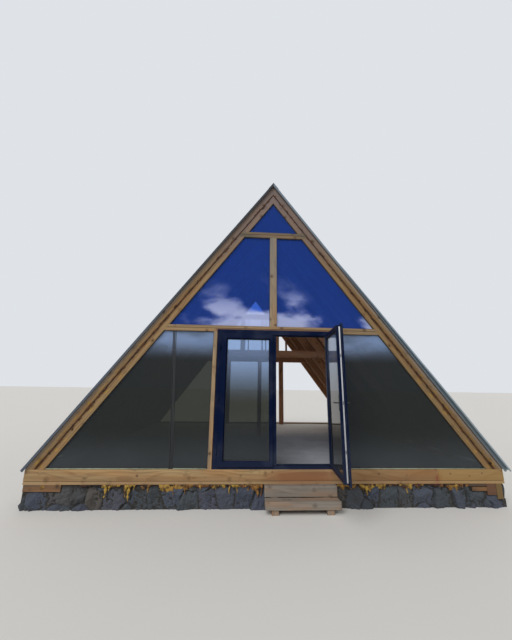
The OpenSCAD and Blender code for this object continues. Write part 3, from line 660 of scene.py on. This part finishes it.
class CABIN_OT_stage(bpy.types.Operator):
    """Pale floor, soft studio light outside and inside, and the camera"""
    bl_idname = "cabin.stage"
    bl_label = "Stage"
    bl_options = {"REGISTER", "UNDO"}

    def execute(self, context):
        scene = context.scene
        mesh = bpy.data.meshes.new("floor")
        far = 500.0
        mesh.from_pydata([(-far, -far, 0), (far, -far, 0), (far, far, 0), (-far, far, 0)], [],
                         [(0, 1, 2, 3)])
        floor = bpy.data.objects.new("floor", mesh)
        scene.collection.objects.link(floor)
        floor.data.materials.append(start("pale_floor", linear("#d5d3cf"), Roughness=0.9)[0])
        self.light_world(scene)
        key = bpy.data.lights.new("key", "SUN")
        key.energy = 1.9
        key.angle = math.radians(35)
        lamp = bpy.data.objects.new("key", key)
        lamp.rotation_euler = (math.radians(50), 0, math.radians(-28))
        scene.collection.objects.link(lamp)
        # A weak panel behind the glazing that shines to the rear, as daylight does there
        panel = bpy.data.lights.new("inside", "AREA")
        panel.shape, panel.size, panel.size_y, panel.energy = "RECTANGLE", 3.0, 1.6, 15
        inside = bpy.data.objects.new("inside", panel)
        inside.location = (0, FACE_Y + 0.35, SILL_TOP + 1.5)
        inside.rotation_euler = (math.radians(90), 0, 0)
        inside.visible_camera = inside.visible_glossy = inside.visible_transmission = False
        scene.collection.objects.link(inside)
        self.place_camera(scene)
        scene.view_settings.view_transform = "Standard"
        return {"FINISHED"}

    def light_world(self, scene):
        """Soft light from all round, behind which camera, glossy and transmission rays see a
        pale backdrop."""
        world = bpy.data.worlds.new("studio")
        scene.world = world
        world.use_nodes = True
        tree = world.node_tree
        tree.nodes.clear()
        ray = add(tree, "LightPath")
        seen = add(tree, "Math", ray.outputs["Is Glossy Ray"],
                   ray.outputs["Is Transmission Ray"], operation="MAXIMUM")
        seen = add(tree, "Math", ray.outputs["Is Camera Ray"], seen, operation="MAXIMUM")
        soft = add(tree, "Background", "#ffffff", 0.55)
        back = add(tree, "Background", "#dfe3e8", 1.0)
        add(tree, "OutputWorld", add(tree, "MixShader", seen, soft, back))

    def place_camera(self, scene):
        """The camera of the photograph: a wide lens at eye height, left of the middle, tipped
        up 13.5 degrees, turned 2.9 degrees to the right and rolled by 0.8."""
        data = bpy.data.cameras.new("camera")
        data.lens = 16.1
        data.sensor_width = 36
        data.clip_end = 2000
        yaw, pitch, roll = (math.radians(a) for a in (2.931, 13.468, 0.777))
        ahead = np.array([math.sin(yaw)*math.cos(pitch), math.cos(yaw)*math.cos(pitch),
                          math.sin(pitch)])
        right = np.array([math.cos(yaw), -math.sin(yaw), 0])
        up = np.cross(right, ahead)
        matrix = np.eye(4)
        matrix[:3, 0] = right*math.cos(roll) + up*math.sin(roll)
        matrix[:3, 1] = up*math.cos(roll) - right*math.sin(roll)
        matrix[:3, 2] = -ahead
        matrix[:3, 3] = (-0.5334, FACE_Y - 4.6746, SILL_TOP + 1.1764)
        camera = bpy.data.objects.new("camera", data)
        scene.collection.objects.link(camera)
        camera.matrix_world = Matrix(matrix.tolist())
        scene.camera = camera


class CABIN_OT_timber(bpy.types.Operator):
    """Sawn spruce on the gable, the beams and the inner frame"""
    bl_idname = "cabin.timber"
    bl_label = "Timber"
    bl_options = {"REGISTER", "UNDO"}

    def execute(self, context):
        look = context.scene.cabin_finish
        tones = (look.spruce_light, look.spruce_dark)
        outer = (*tones, look.spruce_grey)
        # Inner timbers take the lit copy of the spruce: painted light
        inner = (look.lit_inside_light, look.lit_inside_dark, look.spruce_grey, (0, 6, 0.08, 0.15))
        dress(timber("sawn_spruce_sill", ALONG_X, *outer, extras=sill_marks, knotty=0.2),
              "front_sill")
        dress(timber("sawn_spruce_slopes", UP_RIGHT_SLOPE, *tones, look.slope_grey,
                     (3.3, 5.0, 0.05, 0.85), folded=True, extras=slope_marks),
              "front_rafter_right", "front_rafter_left", "glazing_frame_right",
              "glazing_frame_left")
        dress(timber("sawn_spruce_top_bar", ALONG_X, *tones, look.bar_grey,
                     (3, 4, 0.72, 0.72)), "top_bar")
        dress(timber("sawn_spruce_transom", ALONG_X, *outer, (2, 3, 0.1, 0.1),
                     extras=transom_marks), "transom")
        dress(timber("sawn_spruce_upright", UPRIGHT, *tones, look.upright_grey,
                     (2, 4.5, 0.3, 0.7)), "centre_mullion", "door_mullions")
        dress(timber("sawn_spruce_inner_slopes_painted_light", UP_RIGHT_SLOPE, *inner, folded=True),
              "right_rafters", "left_rafters", "rear_rafters")
        dress(timber("sawn_spruce_inner_level_painted_light", ALONG_X, *inner),
              "middle_tie_beam", "rear_collar_beam", "rear_tie_beam")
        # Pale like the floor beside it: painted daylight from the open rear end
        dress(timber("sawn_spruce_rear_sill_painted_light", ALONG_X, "#cfbfa2", "#a18c6c",
                     look.spruce_grey), "rear_sill")
        dress(timber("sawn_spruce_inner_upright_painted_light", UPRIGHT, *inner),
              "middle_posts", "rear_posts", "rear_studs")
        dress(timber("sawn_spruce_side_sills", ALONG_Y, *outer), "side_sills")
        return {"FINISHED"}


class CABIN_OT_glazing(bpy.types.Operator):
    """Panes of the gable with their sealing beads"""
    bl_idname = "cabin.glazing"
    bl_label = "Glazing"
    bl_options = {"REGISTER", "UNDO"}

    def execute(self, context):
        look = context.scene.cabin_finish
        upper = ("top_pane", "upper_left_pane", "upper_right_pane")
        lower = ("lower_left_outer_pane", "lower_left_inner_pane", "lower_right_pane")
        # Upper panes: a blue painted sky reflection, with painted cloud reflections low in them
        dress(pane_glass("float_glass_painted_sky_blue", look.pane_painted_sky_blue, look.pane_painted_cloud, 0.0,
                         (0.8, 0.45), "#2f5cc0", (3.75, 2.85), (0.6, 0.74, 0.0, 0.95), 0.2),
              *upper)
        # Lower panes: a painted sky reflection at their top
        dress(pane_glass("coated_float_glass_clear", look.pane_low, look.pane_top_painted_sky, 0.6,
                         (0.72, 0.6), "#7088b0", (2.12, 2.5)), *lower)
        # Extruded EPDM: soft, black and matt
        rubber = plain("epdm_gasket", "#15161a", 0.6, speck=0.1, scale=90.0)
        dress(rubber, "pane_joint")
        # Planed wood brushed with grey-green paint, blotched where it soaked in
        strip = plain("painted_glazing_strip", "#8d9682", 0.6, speck=0.15, scale=25.0)
        profile = quarter_round(0.004, 0.007, 0.006)
        for name in upper + lower:
            low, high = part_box(name)
            inset = corners_inset(outline(name), PANE_BITE)
            for face, edge, sign in (("outer", low.y, 1), ("inner", high.y, -1)):
                ring = beading(inset, profile*(1, sign) + (0, edge))
                piece = skin(f"{name}_{face}_bead", ring[None], around=True, loop=True)
                settle(piece, rubber, "building", "joint_gasket")
            if name in lower:
                # A strip of 16 by 14 mm before the pane's foot, 12 mm shorter at each end
                foot = np.sort(inset[np.argsort(inset[:, 1])[:2], 0]) + (0.012, -0.012)
                bar = section(0.016, 0.014, 0.004)[0] + (low.y - 0.0155, SILL_TOP + 0.0075)
                grid = points(foot[:, None], bar[:, 0], bar[:, 1])
                piece = skin(f"{name}_glazing_strip", grid[None], around=True, capped=True)
                settle(piece, strip, "building", "gable_timber")
        return {"FINISHED"}


class CABIN_OT_door(bpy.types.Operator):
    """Foil-wrapped double door with gaskets, lock strip and handles"""
    bl_idname = "cabin.door"
    bl_label = "Double door"
    bl_options = {"REGISTER", "UNDO"}

    def execute(self, context):
        look = context.scene.cabin_finish
        dress(foil_plastic("anthracite_foil_pvc", look.frame_tone), "door_frame",
              "left_door_leaf", "right_door_leaf")
        # Door glass: a painted sky reflection at its top
        dress(pane_glass("door_float_glass", look.pane_low, look.pane_top_painted_sky, 0.9, (0.8, 0.7),
                         "#7088b0", (1.45, 2.5)), "left_door_glass", "right_door_glass")
        # Zinc-plated steel: bright, with a faint cloudy bloom
        dress(plain("zinc_plated_lock_steel", "#c4c6ca", 0.32, metallic=1.0, speck=0.06,
                    scale=30.0), "lock_strip")
        # Powder-coated aluminium: satin black with a fine orange peel
        dress(plain("black_coated_aluminium", "#17181c", 0.45, speck=0.05, scale=120.0),
              "door_handles")
        # Extruded EPDM, wiped clean: black with a weak sheen
        rubber = plain("epdm_glass_seal", "#101114", 0.55, speck=0.1, scale=90.0)
        low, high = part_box("left_door_glass")
        z0, z1 = low.z + PANE_BITE, high.z - PANE_BITE
        lip = quarter_round(0.002, 0.006, 0.004)
        for name, body, x0, x1 in (
                ("left_leaf_seal", "left_leaf", low.x + PANE_BITE, high.x - PANE_BITE),
                ("right_leaf_seal", "right_leaf", *RIGHT_GLASS)):
            corners = np.array([[x0, z0], [x1, z0], [x1, z1], [x0, z1]])
            outside = beading(corners, lip + (0, low.y))
            inside = beading(corners, lip*(1, -1) + (0, high.y))
            rings = np.stack([outside, inside[:, ::-1]])
            if body == "right_leaf":
                rings = swing(rings)
            settle(skin(name, rings, around=True, loop=True), rubber, body, "joint_gasket")
        return {"FINISHED"}


class CABIN_OT_roof(bpy.types.Operator):
    """Roof boards laid one by one, painted sheet, trims and screws"""
    bl_idname = "cabin.roof"
    bl_label = "Roof"
    bl_options = {"REGISTER", "UNDO"}

    def execute(self, context):
        look = context.scene.cabin_finish
        dress(roof_steel("painted_steel_sheet", look.roof_tone), "left_roof_sheet",
              "right_roof_sheet")
        dress(roof_steel("painted_steel_trim", look.trim_tone, "#2b3036"), "left_verge_trim",
              "ridge_cap")
        # The right trim and its flashing in the lighter copy of the paint: painted light
        verge = roof_steel("painted_steel_verge_painted_light", look.lit_verge_tone, "#6a7580")
        dress(verge, "right_verge_trim")
        # Roof boards in the darker copy of the spruce: painted shade
        wood = timber("sawn_spruce_boards_painted_shade", ALONG_Y, look.shaded_board_light, look.shaded_board_dark,
                      look.spruce_grey, (0, 6, 0.08, 0.15), extras=self.board_tones)
        for side, word in SIDES:
            grids, tones = self.boards(look, side)
            piece = skin(f"{word}_boards", grids, around=True, capped=True, tone=tones,
                         smooth=False)
            settle(piece, wood, "building", "roof_board", f"{word}_roof_boards")
        # Zinc-plated steel screws: grey and half bright
        zinc = plain("zinc_roof_screw", "#8d9496", 0.35, metallic=1.0, scale=80.0)
        for side, word in SIDES:
            piece = skin(f"{word}_roof_screws", self.screws(look, side), around=True,
                         capped=True, smooth=False)
            settle(piece, zinc, "building", "roof_sheet")
        settle(skin("right_verge_flashing", self.flashing()[None], around=True, capped=True,
                    smooth=False), verge, "building", "roof_sheet")
        return {"FINISHED"}

    def flashing(self):
        """A loose strip of sheet on the right verge: a folded profile, flat on the trim and
        turned down 22 mm at its free edge, carried down the slope. It stands out further from
        the gable by 85 mm min(1, 1.5 t)^0.8, where t runs from 0 at its top to 1 at the eave,
        with a wave of 1.5 mm."""
        down = np.linspace(1.9, (HALF_W + 0.004)/COS_P, 60)[:, None]
        t = (down - down[0])/(down[-1] - down[0])
        reach = 0.085*np.minimum(1, t*1.5)**0.8 + 0.0015*np.sin(down*9)
        trim_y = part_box("right_verge_trim")[0].y
        # Profile: height over the slope, place behind the trim's edge, share of the reach
        out, back, free = np.array([
            (0.0276, 0.06, 0), (0.0276, 0.0018, 1), (0.0056, 0.0018, 1), (0.0056, 0, 1),
            (0.0294, 0, 1), (0.0294, 0.06, 0)]).T
        return on_slope(down, trim_y + back - reach*free, out)

    @staticmethod
    def board_tones(tree, tone, world, grain):
        """Each board is a little darker or lighter than the next."""
        own = add(tree, "Attribute", attribute_name="tone").outputs["Fac"]
        return add(tree, "Mix", add(tree, "Math", own, 0.4, **TIMES), tone, "#4a3019", **TONES)

    def boards(self, look, side):
        """Courses of boards down a slope, and a random tone for each board. A course is one
        board pitch of the slope less a 3 mm gap, cut in two over a rafter. A board is a
        rounded rectangle carried along Y."""
        low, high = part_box("right_roof_boards")
        run = (RIDGE_Z - low.z)/SIN_P - 0.006
        courses = round(run/look.board_pitch)
        pitch = run/courses
        profile, _ = section(pitch - 0.003, look.board_thick - 0.0006, 0.0025, corner_steps=2)
        down = np.arange(courses)[:, None]*pitch + pitch/2 + 0.003 + profile[:, 0]
        out = look.board_thick/2 + 0.0002 + profile[:, 1]
        # Rafters stand a seventh of the length apart, and the joints jump between four of them
        bay = (REAR_Y - FACE_Y - 0.15)/7
        cut = FACE_Y + 0.05 + bay*np.array([3, 5, 2, 4])[np.arange(courses) % 4]
        along = np.concatenate([
            np.stack([np.full(courses, low.y), cut - 0.0015], -1),
            np.stack([cut + 0.0015, np.full(courses, high.y)], -1)])
        down = np.concatenate([down, down])
        rng = np.random.default_rng(5 if side > 0 else 9)
        grids = on_slope(down[:, None, :], along[:, :, None], out, side)
        return grids, rng.uniform(0, 1, 2*courses)

    def screws(self, look, side):
        """Hexagon-head roof screws on the ribs: a profile of radius and height turned round
        the slope's normal, washer 8 mm in radius, head 5 mm."""
        turn = np.linspace(0, 2*np.pi, 6, endpoint=False)
        radius, height = np.array([[0.008, -0.002], [0.008, 0.0012], [0.0052, 0.0016],
                                   [0.0052, 0.0058], [0.0005, 0.0062]]).T[..., None]
        ribs = np.arange(FACE_Y - 0.003, REAR_Y + 0.03, look.rib_pitch)
        rows = np.linspace(0.32, 5.95, look.screw_rows)
        rib_top = 0.0252
        down, along = (a.reshape(-1, 1, 1) for a in np.meshgrid(rows, ribs, indexing="ij"))
        return on_slope(down + radius*np.cos(turn), along + radius*np.sin(turn),
                        rib_top + height, side)


class CABIN_OT_footing(bpy.types.Operator):
    """Rubble facing round the footing and the screed floor"""
    bl_idname = "cabin.footing"
    bl_label = "Footing and floor"
    bl_options = {"REGISTER", "UNDO"}

    def execute(self, context):
        look = context.scene.cabin_finish
        # Lime mortar mixed with earth: dull, crumbly and blotched
        dress(plain("lime_mortar", look.mortar_tone, 0.95, speck=0.3, scale=30.0, depth=0.004),
              "front_footing", "rear_footing", "side_footings")
        dress(screed("cement_screed", look.screed_tone), "floor_slab")
        ring, tones, hollow = self.facing(look)
        piece = skin("rubble_facing", ring[None], around=True, loop=True, tone=tones[None],
                     hollow=hollow[None])
        settle(piece, rubble("split_field_stone", look.stone_tone, look.stone_warm,
                             look.mortar_tone), "building", "rubble_footing")
        return {"FINISHED"}

    def facing(self, look):
        """A wall skin carried round the footing's outline. Random seeds, large ones in the
        middle and small ones as packing, share it out into stones: a point belongs to the seed
        with the least distance divided by size. Its outward height is that stone's own level,
        cut by two tilted planes, times 1 - exp(-gap/12 mm), where gap grows from zero at the
        joint, so that stones are faceted and crowned and the joints between them sink."""
        low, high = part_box("front_footing")
        y0, y1 = low.y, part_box("rear_footing")[1].y
        path, normal = section(2*high.x, y1 - y0, 0.03, side_steps=540, corner_steps=6)
        path = path + (0, (y0 + y1)/2)
        step = np.linalg.norm(np.roll(path, -1, 0) - path, axis=1)
        run = np.concatenate([[0], np.cumsum(step)[:-1]])
        total = step.sum()
        rng = np.random.default_rng(21)
        n = int(total/look.stone_size)
        big = np.stack([(np.arange(n) + 0.3)*total/n + rng.normal(0, 0.05, n),
                        rng.normal(0.17, 0.035, n)], -1)
        small = np.stack([rng.uniform(0, total, n),
                          rng.choice([0.02, 0.30], n) + rng.normal(0, 0.02, n)], -1)
        seeds = np.concatenate([big, small])
        size = np.concatenate([rng.uniform(0.85, 1.25, n), rng.uniform(0.35, 0.7, n)])
        # The facing reaches up to the beam, and less far past the beam's supported part
        top = np.full(len(path), SILL_FOOT - 0.002)
        front = path[:, 1] < y0 + 0.02
        top[front & (path[:, 0] < -3.05)] = SILL_TOP - 0.29
        for past, height in ((2.99, SILL_FOOT - 0.108), (3.285, SILL_TOP - 0.36),
                             (3.435, SILL_TOP - 0.414)):
            top[front & (path[:, 0] > past)] = height
        t = np.linspace(0, 1, 32)
        z = t*top[:, None]
        flat = points(path[:, None, 0], path[:, None, 1], z)
        # From every seed: along the outline, the short way round, and up
        along = (run[:, None, None] - seeds[:, 0] + total/2) % total - total/2
        up = z[:, :, None] - seeds[:, 1]
        far = np.sqrt(along**2 + (up*1.15)**2)/size
        order = np.argpartition(far, 1, axis=2)[:, :, :2]
        near = np.take_along_axis(far, order, 2)
        which = np.where(near[..., 0] < near[..., 1], order[..., 0], order[..., 1])
        gap = np.maximum(near.max(2) - near.min(2) + 0.0048*ripple(flat, 0.12, 6), 0)
        level = rng.uniform(0.45, 1.0, len(seeds))*look.stone_bulge
        tilt = rng.normal(0, 0.34, (2, len(seeds), 2))[:, which]
        aside = np.take_along_axis(np.broadcast_to(along, far.shape), which[..., None], 2)
        above = z - seeds[which, 1]
        face = level[which] + (tilt[..., 0]*aside[..., 0] + tilt[..., 1]*above).min(0)
        rough = 0.006*np.abs(ripple(flat, 0.09, 3)) + 0.003*ripple(flat, 0.03, 4)
        rise = np.clip(face, 0.008, look.stone_bulge + 0.012)
        # The upper stones stand back, so that the foam hangs in front of them
        rise = rise*np.clip(0.3 + (top[:, None] - z)/0.16, 0.3, 1)
        rise = (rise + rough)*(1 - np.exp(-gap/0.012)) - 0.010
        # Stones near the sides of the part's box are pressed in, so that none reaches past it
        free = (CAD_BOX[1][:2] - np.abs(path))/np.maximum(np.abs(normal), 0.05)
        rise = rise*np.minimum(1, (free.min(1) - 0.001)/rise.max())[:, None]
        # The facing turns in at its upper edge
        edge = np.minimum(1, (1 - t)/0.06)**0.5
        rise = rise*edge - 0.015*(1 - edge)
        outward = np.pad(normal, ((0, 0), (0, 1)))[:, None]
        ring = np.concatenate([flat + outward*rise[..., None],
                               flat[:, [-1, 0]] - outward*0.03], 1)
        tones = np.pad(rng.uniform(0, 1, len(seeds))[which], ((0, 0), (0, 2)))
        hollow = np.pad(np.exp(-gap/0.014), ((0, 0), (0, 2)), constant_values=1)
        return ring, tones, hollow


# Foam lumps under the base beam, in groups along X: where a group starts and ends, how many
# lumps it has, how large they grow, and how far they have turned from yellow to ochre
FOAM_GROUPS = (
    (-2.75, -2.47, 6, 0.016, 1.0), (-2.46, -2.37, 5, 0.030, 0.1),
    (-2.36, -2.22, 5, 0.022, 0.3), (-2.15, -2.07, 5, 0.030, 0.1),
    (-2.05, -1.98, 3, 0.022, 0.2), (-1.88, -1.76, 5, 0.026, 0.7),
    (-1.35, -1.1, 6, 0.022, 0.85), (-1.1, -1.04, 2, 0.016, 0.4),
    (-0.89, -0.74, 8, 0.036, 0.1), (-0.68, -0.5, 8, 0.030, 0.2),
    (-0.5, -0.3, 8, 0.030, 0.7), (-0.32, -0.17, 8, 0.046, 0.85),
    (0.96, 1.2, 12, 0.036, 0.6), (1.31, 1.48, 11, 0.046, 0.2),
    (1.57, 1.69, 5, 0.042, 0.4), (1.72, 1.9, 4, 0.020, 0.95),
    (1.93, 2.06, 8, 0.040, 0.3), (2.14, 2.3, 6, 0.030, 0.8),
    (2.48, 2.6, 5, 0.028, 0.9), (2.68, 2.88, 9, 0.036, 0.6),
    (2.9, 3.0, 3, 0.024, 0.9))
# Single large lumps: X, depth under the beam, radii in X, Y and Z, and turn to ochre
FOAM_LUMPS = (
    (-3.32, 0.030, 0.030, 0.024, 0.029, 0.45), (-1.54, 0.050, 0.120, 0.022, 0.052, 0.3),
    (-1.36, 0.044, 0.130, 0.020, 0.048, 0.45), (-1.40, 0.105, 0.060, 0.018, 0.030, 0.9),
    (-1.02, 0.020, 0.150, 0.016, 0.020, 1.0), (2.67, 0.040, 0.038, 0.020, 0.034, 0.9))
# Strings of foam that ran down: X, length, radius, and turn to ochre
FOAM_STRINGS = (
    (-2.42, 0.16, 0.023, 0.05), (-2.37, 0.08, 0.014, 0.2), (-2.14, 0.16, 0.022, 0.1),
    (-2.09, 0.20, 0.026, 0), (-2.02, 0.07, 0.014, 0.1), (-1.82, 0.10, 0.016, 0.7),
    (-1.46, 0.13, 0.012, 0.8), (-1.30, 0.12, 0.013, 0.9), (-1.08, 0.07, 0.011, 0.2),
    (-0.84, 0.06, 0.015, 0.1), (-0.65, 0.12, 0.012, 0.1), (-0.54, 0.12, 0.013, 0.1),
    (-0.37, 0.09, 0.016, 0.8), (-0.31, 0.12, 0.020, 0.9), (-0.24, 0.17, 0.024, 0.8),
    (-0.18, 0.15, 0.022, 0.9), (1.03, 0.08, 0.015, 0.4), (1.15, 0.07, 0.014, 0.6),
    (1.35, 0.09, 0.020, 0.3), (1.40, 0.15, 0.028, 0.1), (1.45, 0.10, 0.020, 0.3),
    (1.62, 0.07, 0.018, 0.3), (1.96, 0.08, 0.016, 0.3), (2.01, 0.12, 0.017, 0.1),
    (2.20, 0.07, 0.014, 0.8), (2.72, 0.08, 0.016, 0.5), (2.79, 0.11, 0.016, 0.3),
    (2.90, 0.06, 0.012, 0.9))


class CABIN_OT_foam(bpy.types.Operator):
    """Foam in the gaps, and the bead, lumps and strings of foam under the base beam"""
    bl_idname = "cabin.foam"
    bl_label = "Foam"
    bl_options = {"REGISTER", "UNDO"}

    def execute(self, context):
        look = context.scene.cabin_finish
        # Foam darkened to deep brown: painted shade on the foam in the gaps and in the bead
        # under the beam, over foam that has turned brown
        shaded_foam = foam("cured_foam_painted_shade", "#4a2a0e", "#150c08", "#33190e")
        dress(shaded_foam, "left_foam_seal", "right_foam_seal")
        for side, word in SIDES:
            piece = skin(f"{word}_groove_foam", self.groove(side)[None], around=True,
                         capped=True)
            settle(piece, shaded_foam, "building", "cured_foam")
        fresh = foam("cured_foam_under_beam", look.foam_light, look.foam_dark, look.foam_ochre)
        for name, (grids, tones), cured in (("sill_foam_bead", self.bead(), shaded_foam),
                                            ("sill_foam_lumps", self.lumps(), fresh),
                                            ("sill_foam_strings", self.strings(), fresh)):
            piece = skin(name, grids, around=True, capped=True, tone=tones)
            settle(piece, cured, "building", "cured_foam")
        return {"FINISHED"}

    def groove(self, side):
        """A foam bead up the gap between the rafter and the glazing frame: a flattened circle
        21 mm wide carried up the slope, whose depth follows random ripples, and which spreads
        where it swells out over the timbers."""
        run = np.linspace(0.14, (RIDGE_Z - SILL_TOP)/SIN_P - 0.16, 900)[:, None]
        turn = np.linspace(0, 2*np.pi, 12, endpoint=False)
        across, forth = np.cos(turn), np.sin(turn)
        line = points(run, 0, 0)
        swell = 0.0135 + 0.006*ripple(line, 0.13, 31 + side) + 0.003*ripple(line, 0.04, 33)
        swell = np.clip(swell, 0.003, 0.019)
        open_by = np.clip((swell - 0.0125)/0.004, 0, 1)
        half = 0.0104 + 0.009*open_by
        wave = 0.008*ripple(line, 0.09, 35 + side)*open_by
        out = wave - GROOVE + half*np.sign(across)*np.abs(across)**0.6
        along = FACE_Y + 0.0125 + np.where(forth > 0, -swell*forth, 0.004)
        return on_slope(run, along, out, side)

    def bead(self):
        """Two twisted foam beads from end to end under the beam, left and right of the steps:
        circles carried along X, whose radius and place follow random ripples."""
        made = []
        turn = np.linspace(0, 2*np.pi, 10, endpoint=False)
        for x0, x1 in ((-2.78, -0.15), (0.94, 3.0)):
            for seed in (61, 71):
                x = np.linspace(x0, x1, 420)[:, None]
                line = points(x, 0, 0)
                r = 0.011 + 0.006*ripple(line, 0.16, seed) + 0.004*ripple(line, 0.05, seed + 1)
                r = np.clip(r, 0.004, 0.026)
                y = FACE_Y + 0.010 + 0.009*ripple(line, 0.12, seed + 2)
                z = SILL_FOOT - 0.010 - 0.006*ripple(line, 0.14, seed + 3)
                made.append(points(x, y + r*np.cos(turn),
                                   np.minimum(z + r*np.sin(turn), SILL_FOOT - 0.001)))
        return np.stack(made), np.array([0.75, 0.9, 0.6, 0.85])

    def lumps(self):
        """Foam that swelled out under the base beam. A lump is a ball of radii (a, b, c) whose
        surface is pushed in and out by ripples of 60 mm and 25 mm. Most stand in groups, at
        random places in them and of random size."""
        rng = np.random.default_rng(8)
        x = np.concatenate([rng.uniform(*group[:3]) for group in FOAM_GROUPS])
        size, tone = np.concatenate([[group[3:]]*group[2] for group in FOAM_GROUPS]).T
        size = size*rng.uniform(0.55, 1.15, len(x))
        tone = np.clip(tone + rng.normal(0, 0.15, len(x)), 0, 1)
        radii = size[:, None]*rng.uniform((0.8, 0.45, 0.7), (1.5, 0.7, 1.2), (len(x), 3))
        drop = radii[:, 2]*rng.uniform(0.4, 0.9, len(x))
        lumps = np.concatenate([np.column_stack([x, drop, radii, tone]), FOAM_LUMPS])
        # A ball with its poles on X
        turn = np.linspace(0, 2*np.pi, 26, endpoint=False)
        tip = np.linspace(0.04, np.pi - 0.04, 17)[:, None]
        unit = points(np.cos(tip), np.sin(tip)*np.cos(turn), np.sin(tip)*np.sin(turn))
        middle = np.stack([lumps[:, 0],
                           FACE_Y + 0.004 + rng.uniform(-0.006, 0.006, len(lumps)),
                           SILL_FOOT - lumps[:, 1]], -1)[:, None, None]
        away = unit*lumps[:, None, None, 2:5]
        at = middle + away
        push = 1 + 0.17*ripple(at, 0.06, 12) + 0.09*ripple(at, 0.025, 13)
        spots = middle + away*push[..., None]
        spots[..., 2] = np.minimum(spots[..., 2], SILL_FOOT - 0.001)
        return spots, lumps[:, 5]

    def strings(self):
        """Foam that ran down before it cured: circles carried down from the beam on a gently
        swaying line, thinner towards a round tip."""
        x, reach, r, tone = np.array(FOAM_STRINGS).T[..., None, None]
        t = np.linspace(0, 1, 20)[:, None]
        turn = np.linspace(0, 2*np.pi, 9, endpoint=False)
        phase = np.random.default_rng(17).uniform(0, 6, x.shape)
        bulge = 1 + 0.3*ripple(points(x, 0, reach*t), 0.05, 19)
        width = r*(1 - 0.5*t)*np.sqrt(1.002 - t**6)*bulge
        sway = 0.010*np.sin(5*t + phase)*t
        y = FACE_Y - 0.004 - 0.20*reach*t
        return points(x + sway + width*np.cos(turn), y + width*np.sin(turn),
                      SILL_FOOT - 0.001 - reach*t), tone.ravel()


class CABIN_OT_steps(bpy.types.Operator):
    """Weathered sawn timbers of the steps and the packing blocks"""
    bl_idname = "cabin.steps"
    bl_label = "Steps and blocks"
    bl_options = {"REGISTER", "UNDO"}

    def execute(self, context):
        look = context.scene.cabin_finish
        steps = (look.step_light, look.step_dark, look.spruce_grey)
        grey = timber("weathered_sawn_timber", ALONG_X, *steps, (-1, 0, 0.25, 0.25),
                      knotty=0.3)
        for seed, name in enumerate(("upper_step", "lower_step")):
            piece = skin(f"{name}_timber", self.rough(*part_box(name), seed)[None], around=True,
                         capped=True)
            settle(piece, grey, "building", "step_timber", name)
        dress(timber("weathered_upright_timber", UPRIGHT, *steps), "step_bearers")
        dress(timber("packing_block_timber", ALONG_X, "#5a4431", "#36261a", look.spruce_grey,
                     extras=self.block_tones), "corner_blocks")
        # Two shims fill the gap between the right block and the beam
        shim = timber("packing_shim_timber", ALONG_X, "#4a3520", "#26190f", look.spruce_grey,
                      extras=self.shim_tones)
        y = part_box("corner_blocks")[0].y
        end = HALF_W - 0.302
        for name, seed, long, foot, head in (("upper_shim", 5, 0.285, 0.042, 0.0005),
                                             ("lower_shim", 6, 0.235, 0.105, 0.045)):
            grid = self.rough(Vector((end - long, y - 0.004, SILL_FOOT - foot)),
                              Vector((end, y + 0.018, SILL_FOOT - head)), seed)
            settle(skin(name, grid[None], around=True, capped=True), shim, "building",
                   "gable_timber")
        return {"FINISHED"}

    @staticmethod
    def block_tones(tree, tone, world, grain):
        """The first right block is red-brown and the end one yellow."""
        x = world.outputs["X"]
        tone = stain(tree, tone, "#51301f", x, 3.0, 3.1, 0.0, 0.7, eased=False)
        return stain(tree, tone, "#6b552c", x, HALF_W - 0.151, HALF_W - 0.149, 0.0, 0.85,
                     eased=False)

    @staticmethod
    def shim_tones(tree, tone, world, grain):
        """The upper shim is darker."""
        return stain(tree, tone, "#33261f", world.outputs["Z"], SILL_FOOT - 0.044,
                     SILL_FOOT - 0.043, 0.0, 0.75, eased=False)

    def rough(self, low, high, seed):
        """A rough-sawn timber along X: a rounded rectangle carried from end to end, whose
        surface moves in by up to 4 mm in long ripples, and whose corners are worn."""
        wide, tall = high.y - low.y - 0.001, high.z - low.z - 0.001
        profile, normal = section(wide, tall, min(0.006, wide/4), side_steps=8,
                                  corner_steps=4)
        x = np.linspace(low.x + 0.0005, high.x - 0.0005, 90)[:, None]
        spots = points(x, (low.y + high.y)/2 + profile[:, 0],
                       (low.z + high.z)/2 + profile[:, 1])
        inward = 0.0015 + 0.0009*ripple(spots*(0.3, 1, 1), 0.12, 40 + seed) \
            + 0.0004*ripple(spots, 0.03, 50 + seed)
        spots[..., 1:] -= normal*np.clip(inward, 0, 0.004)[..., None]
        return spots


class CABIN_PT_panel(bpy.types.Panel):
    """Lists the cabin's pieces and what may be changed"""
    bl_idname = "CABIN_PT_panel"
    bl_label = "Cabin"
    bl_space_type = "VIEW_3D"
    bl_region_type = "UI"
    bl_category = "Cabin"

    def draw(self, context):
        look = context.scene.cabin_finish
        for key in CabinFinish.__annotations__:
            self.layout.prop(look, key)
        for kind in OPERATORS:
            self.layout.operator(kind.bl_idname)


OPERATORS = (CABIN_OT_stage, CABIN_OT_timber, CABIN_OT_glazing, CABIN_OT_door, CABIN_OT_roof,
             CABIN_OT_footing, CABIN_OT_foam, CABIN_OT_steps)
CLASSES = (CabinFinish,) + OPERATORS + (CABIN_PT_panel,)


def register():
    for kind in CLASSES:
        bpy.utils.register_class(kind)
    bpy.types.Scene.cabin_finish = PointerProperty(type=CabinFinish)


def unregister():
    del bpy.types.Scene.cabin_finish
    for kind in reversed(CLASSES):
        bpy.utils.unregister_class(kind)


def main():
    register()
    bpy.ops.cabin.stage()
    bpy.ops.cabin.timber()
    bpy.ops.cabin.glazing()
    bpy.ops.cabin.door()
    bpy.ops.cabin.roof()
    bpy.ops.cabin.footing()
    bpy.ops.cabin.foam()
    bpy.ops.cabin.steps()


if __name__ == "__main__":
    main()
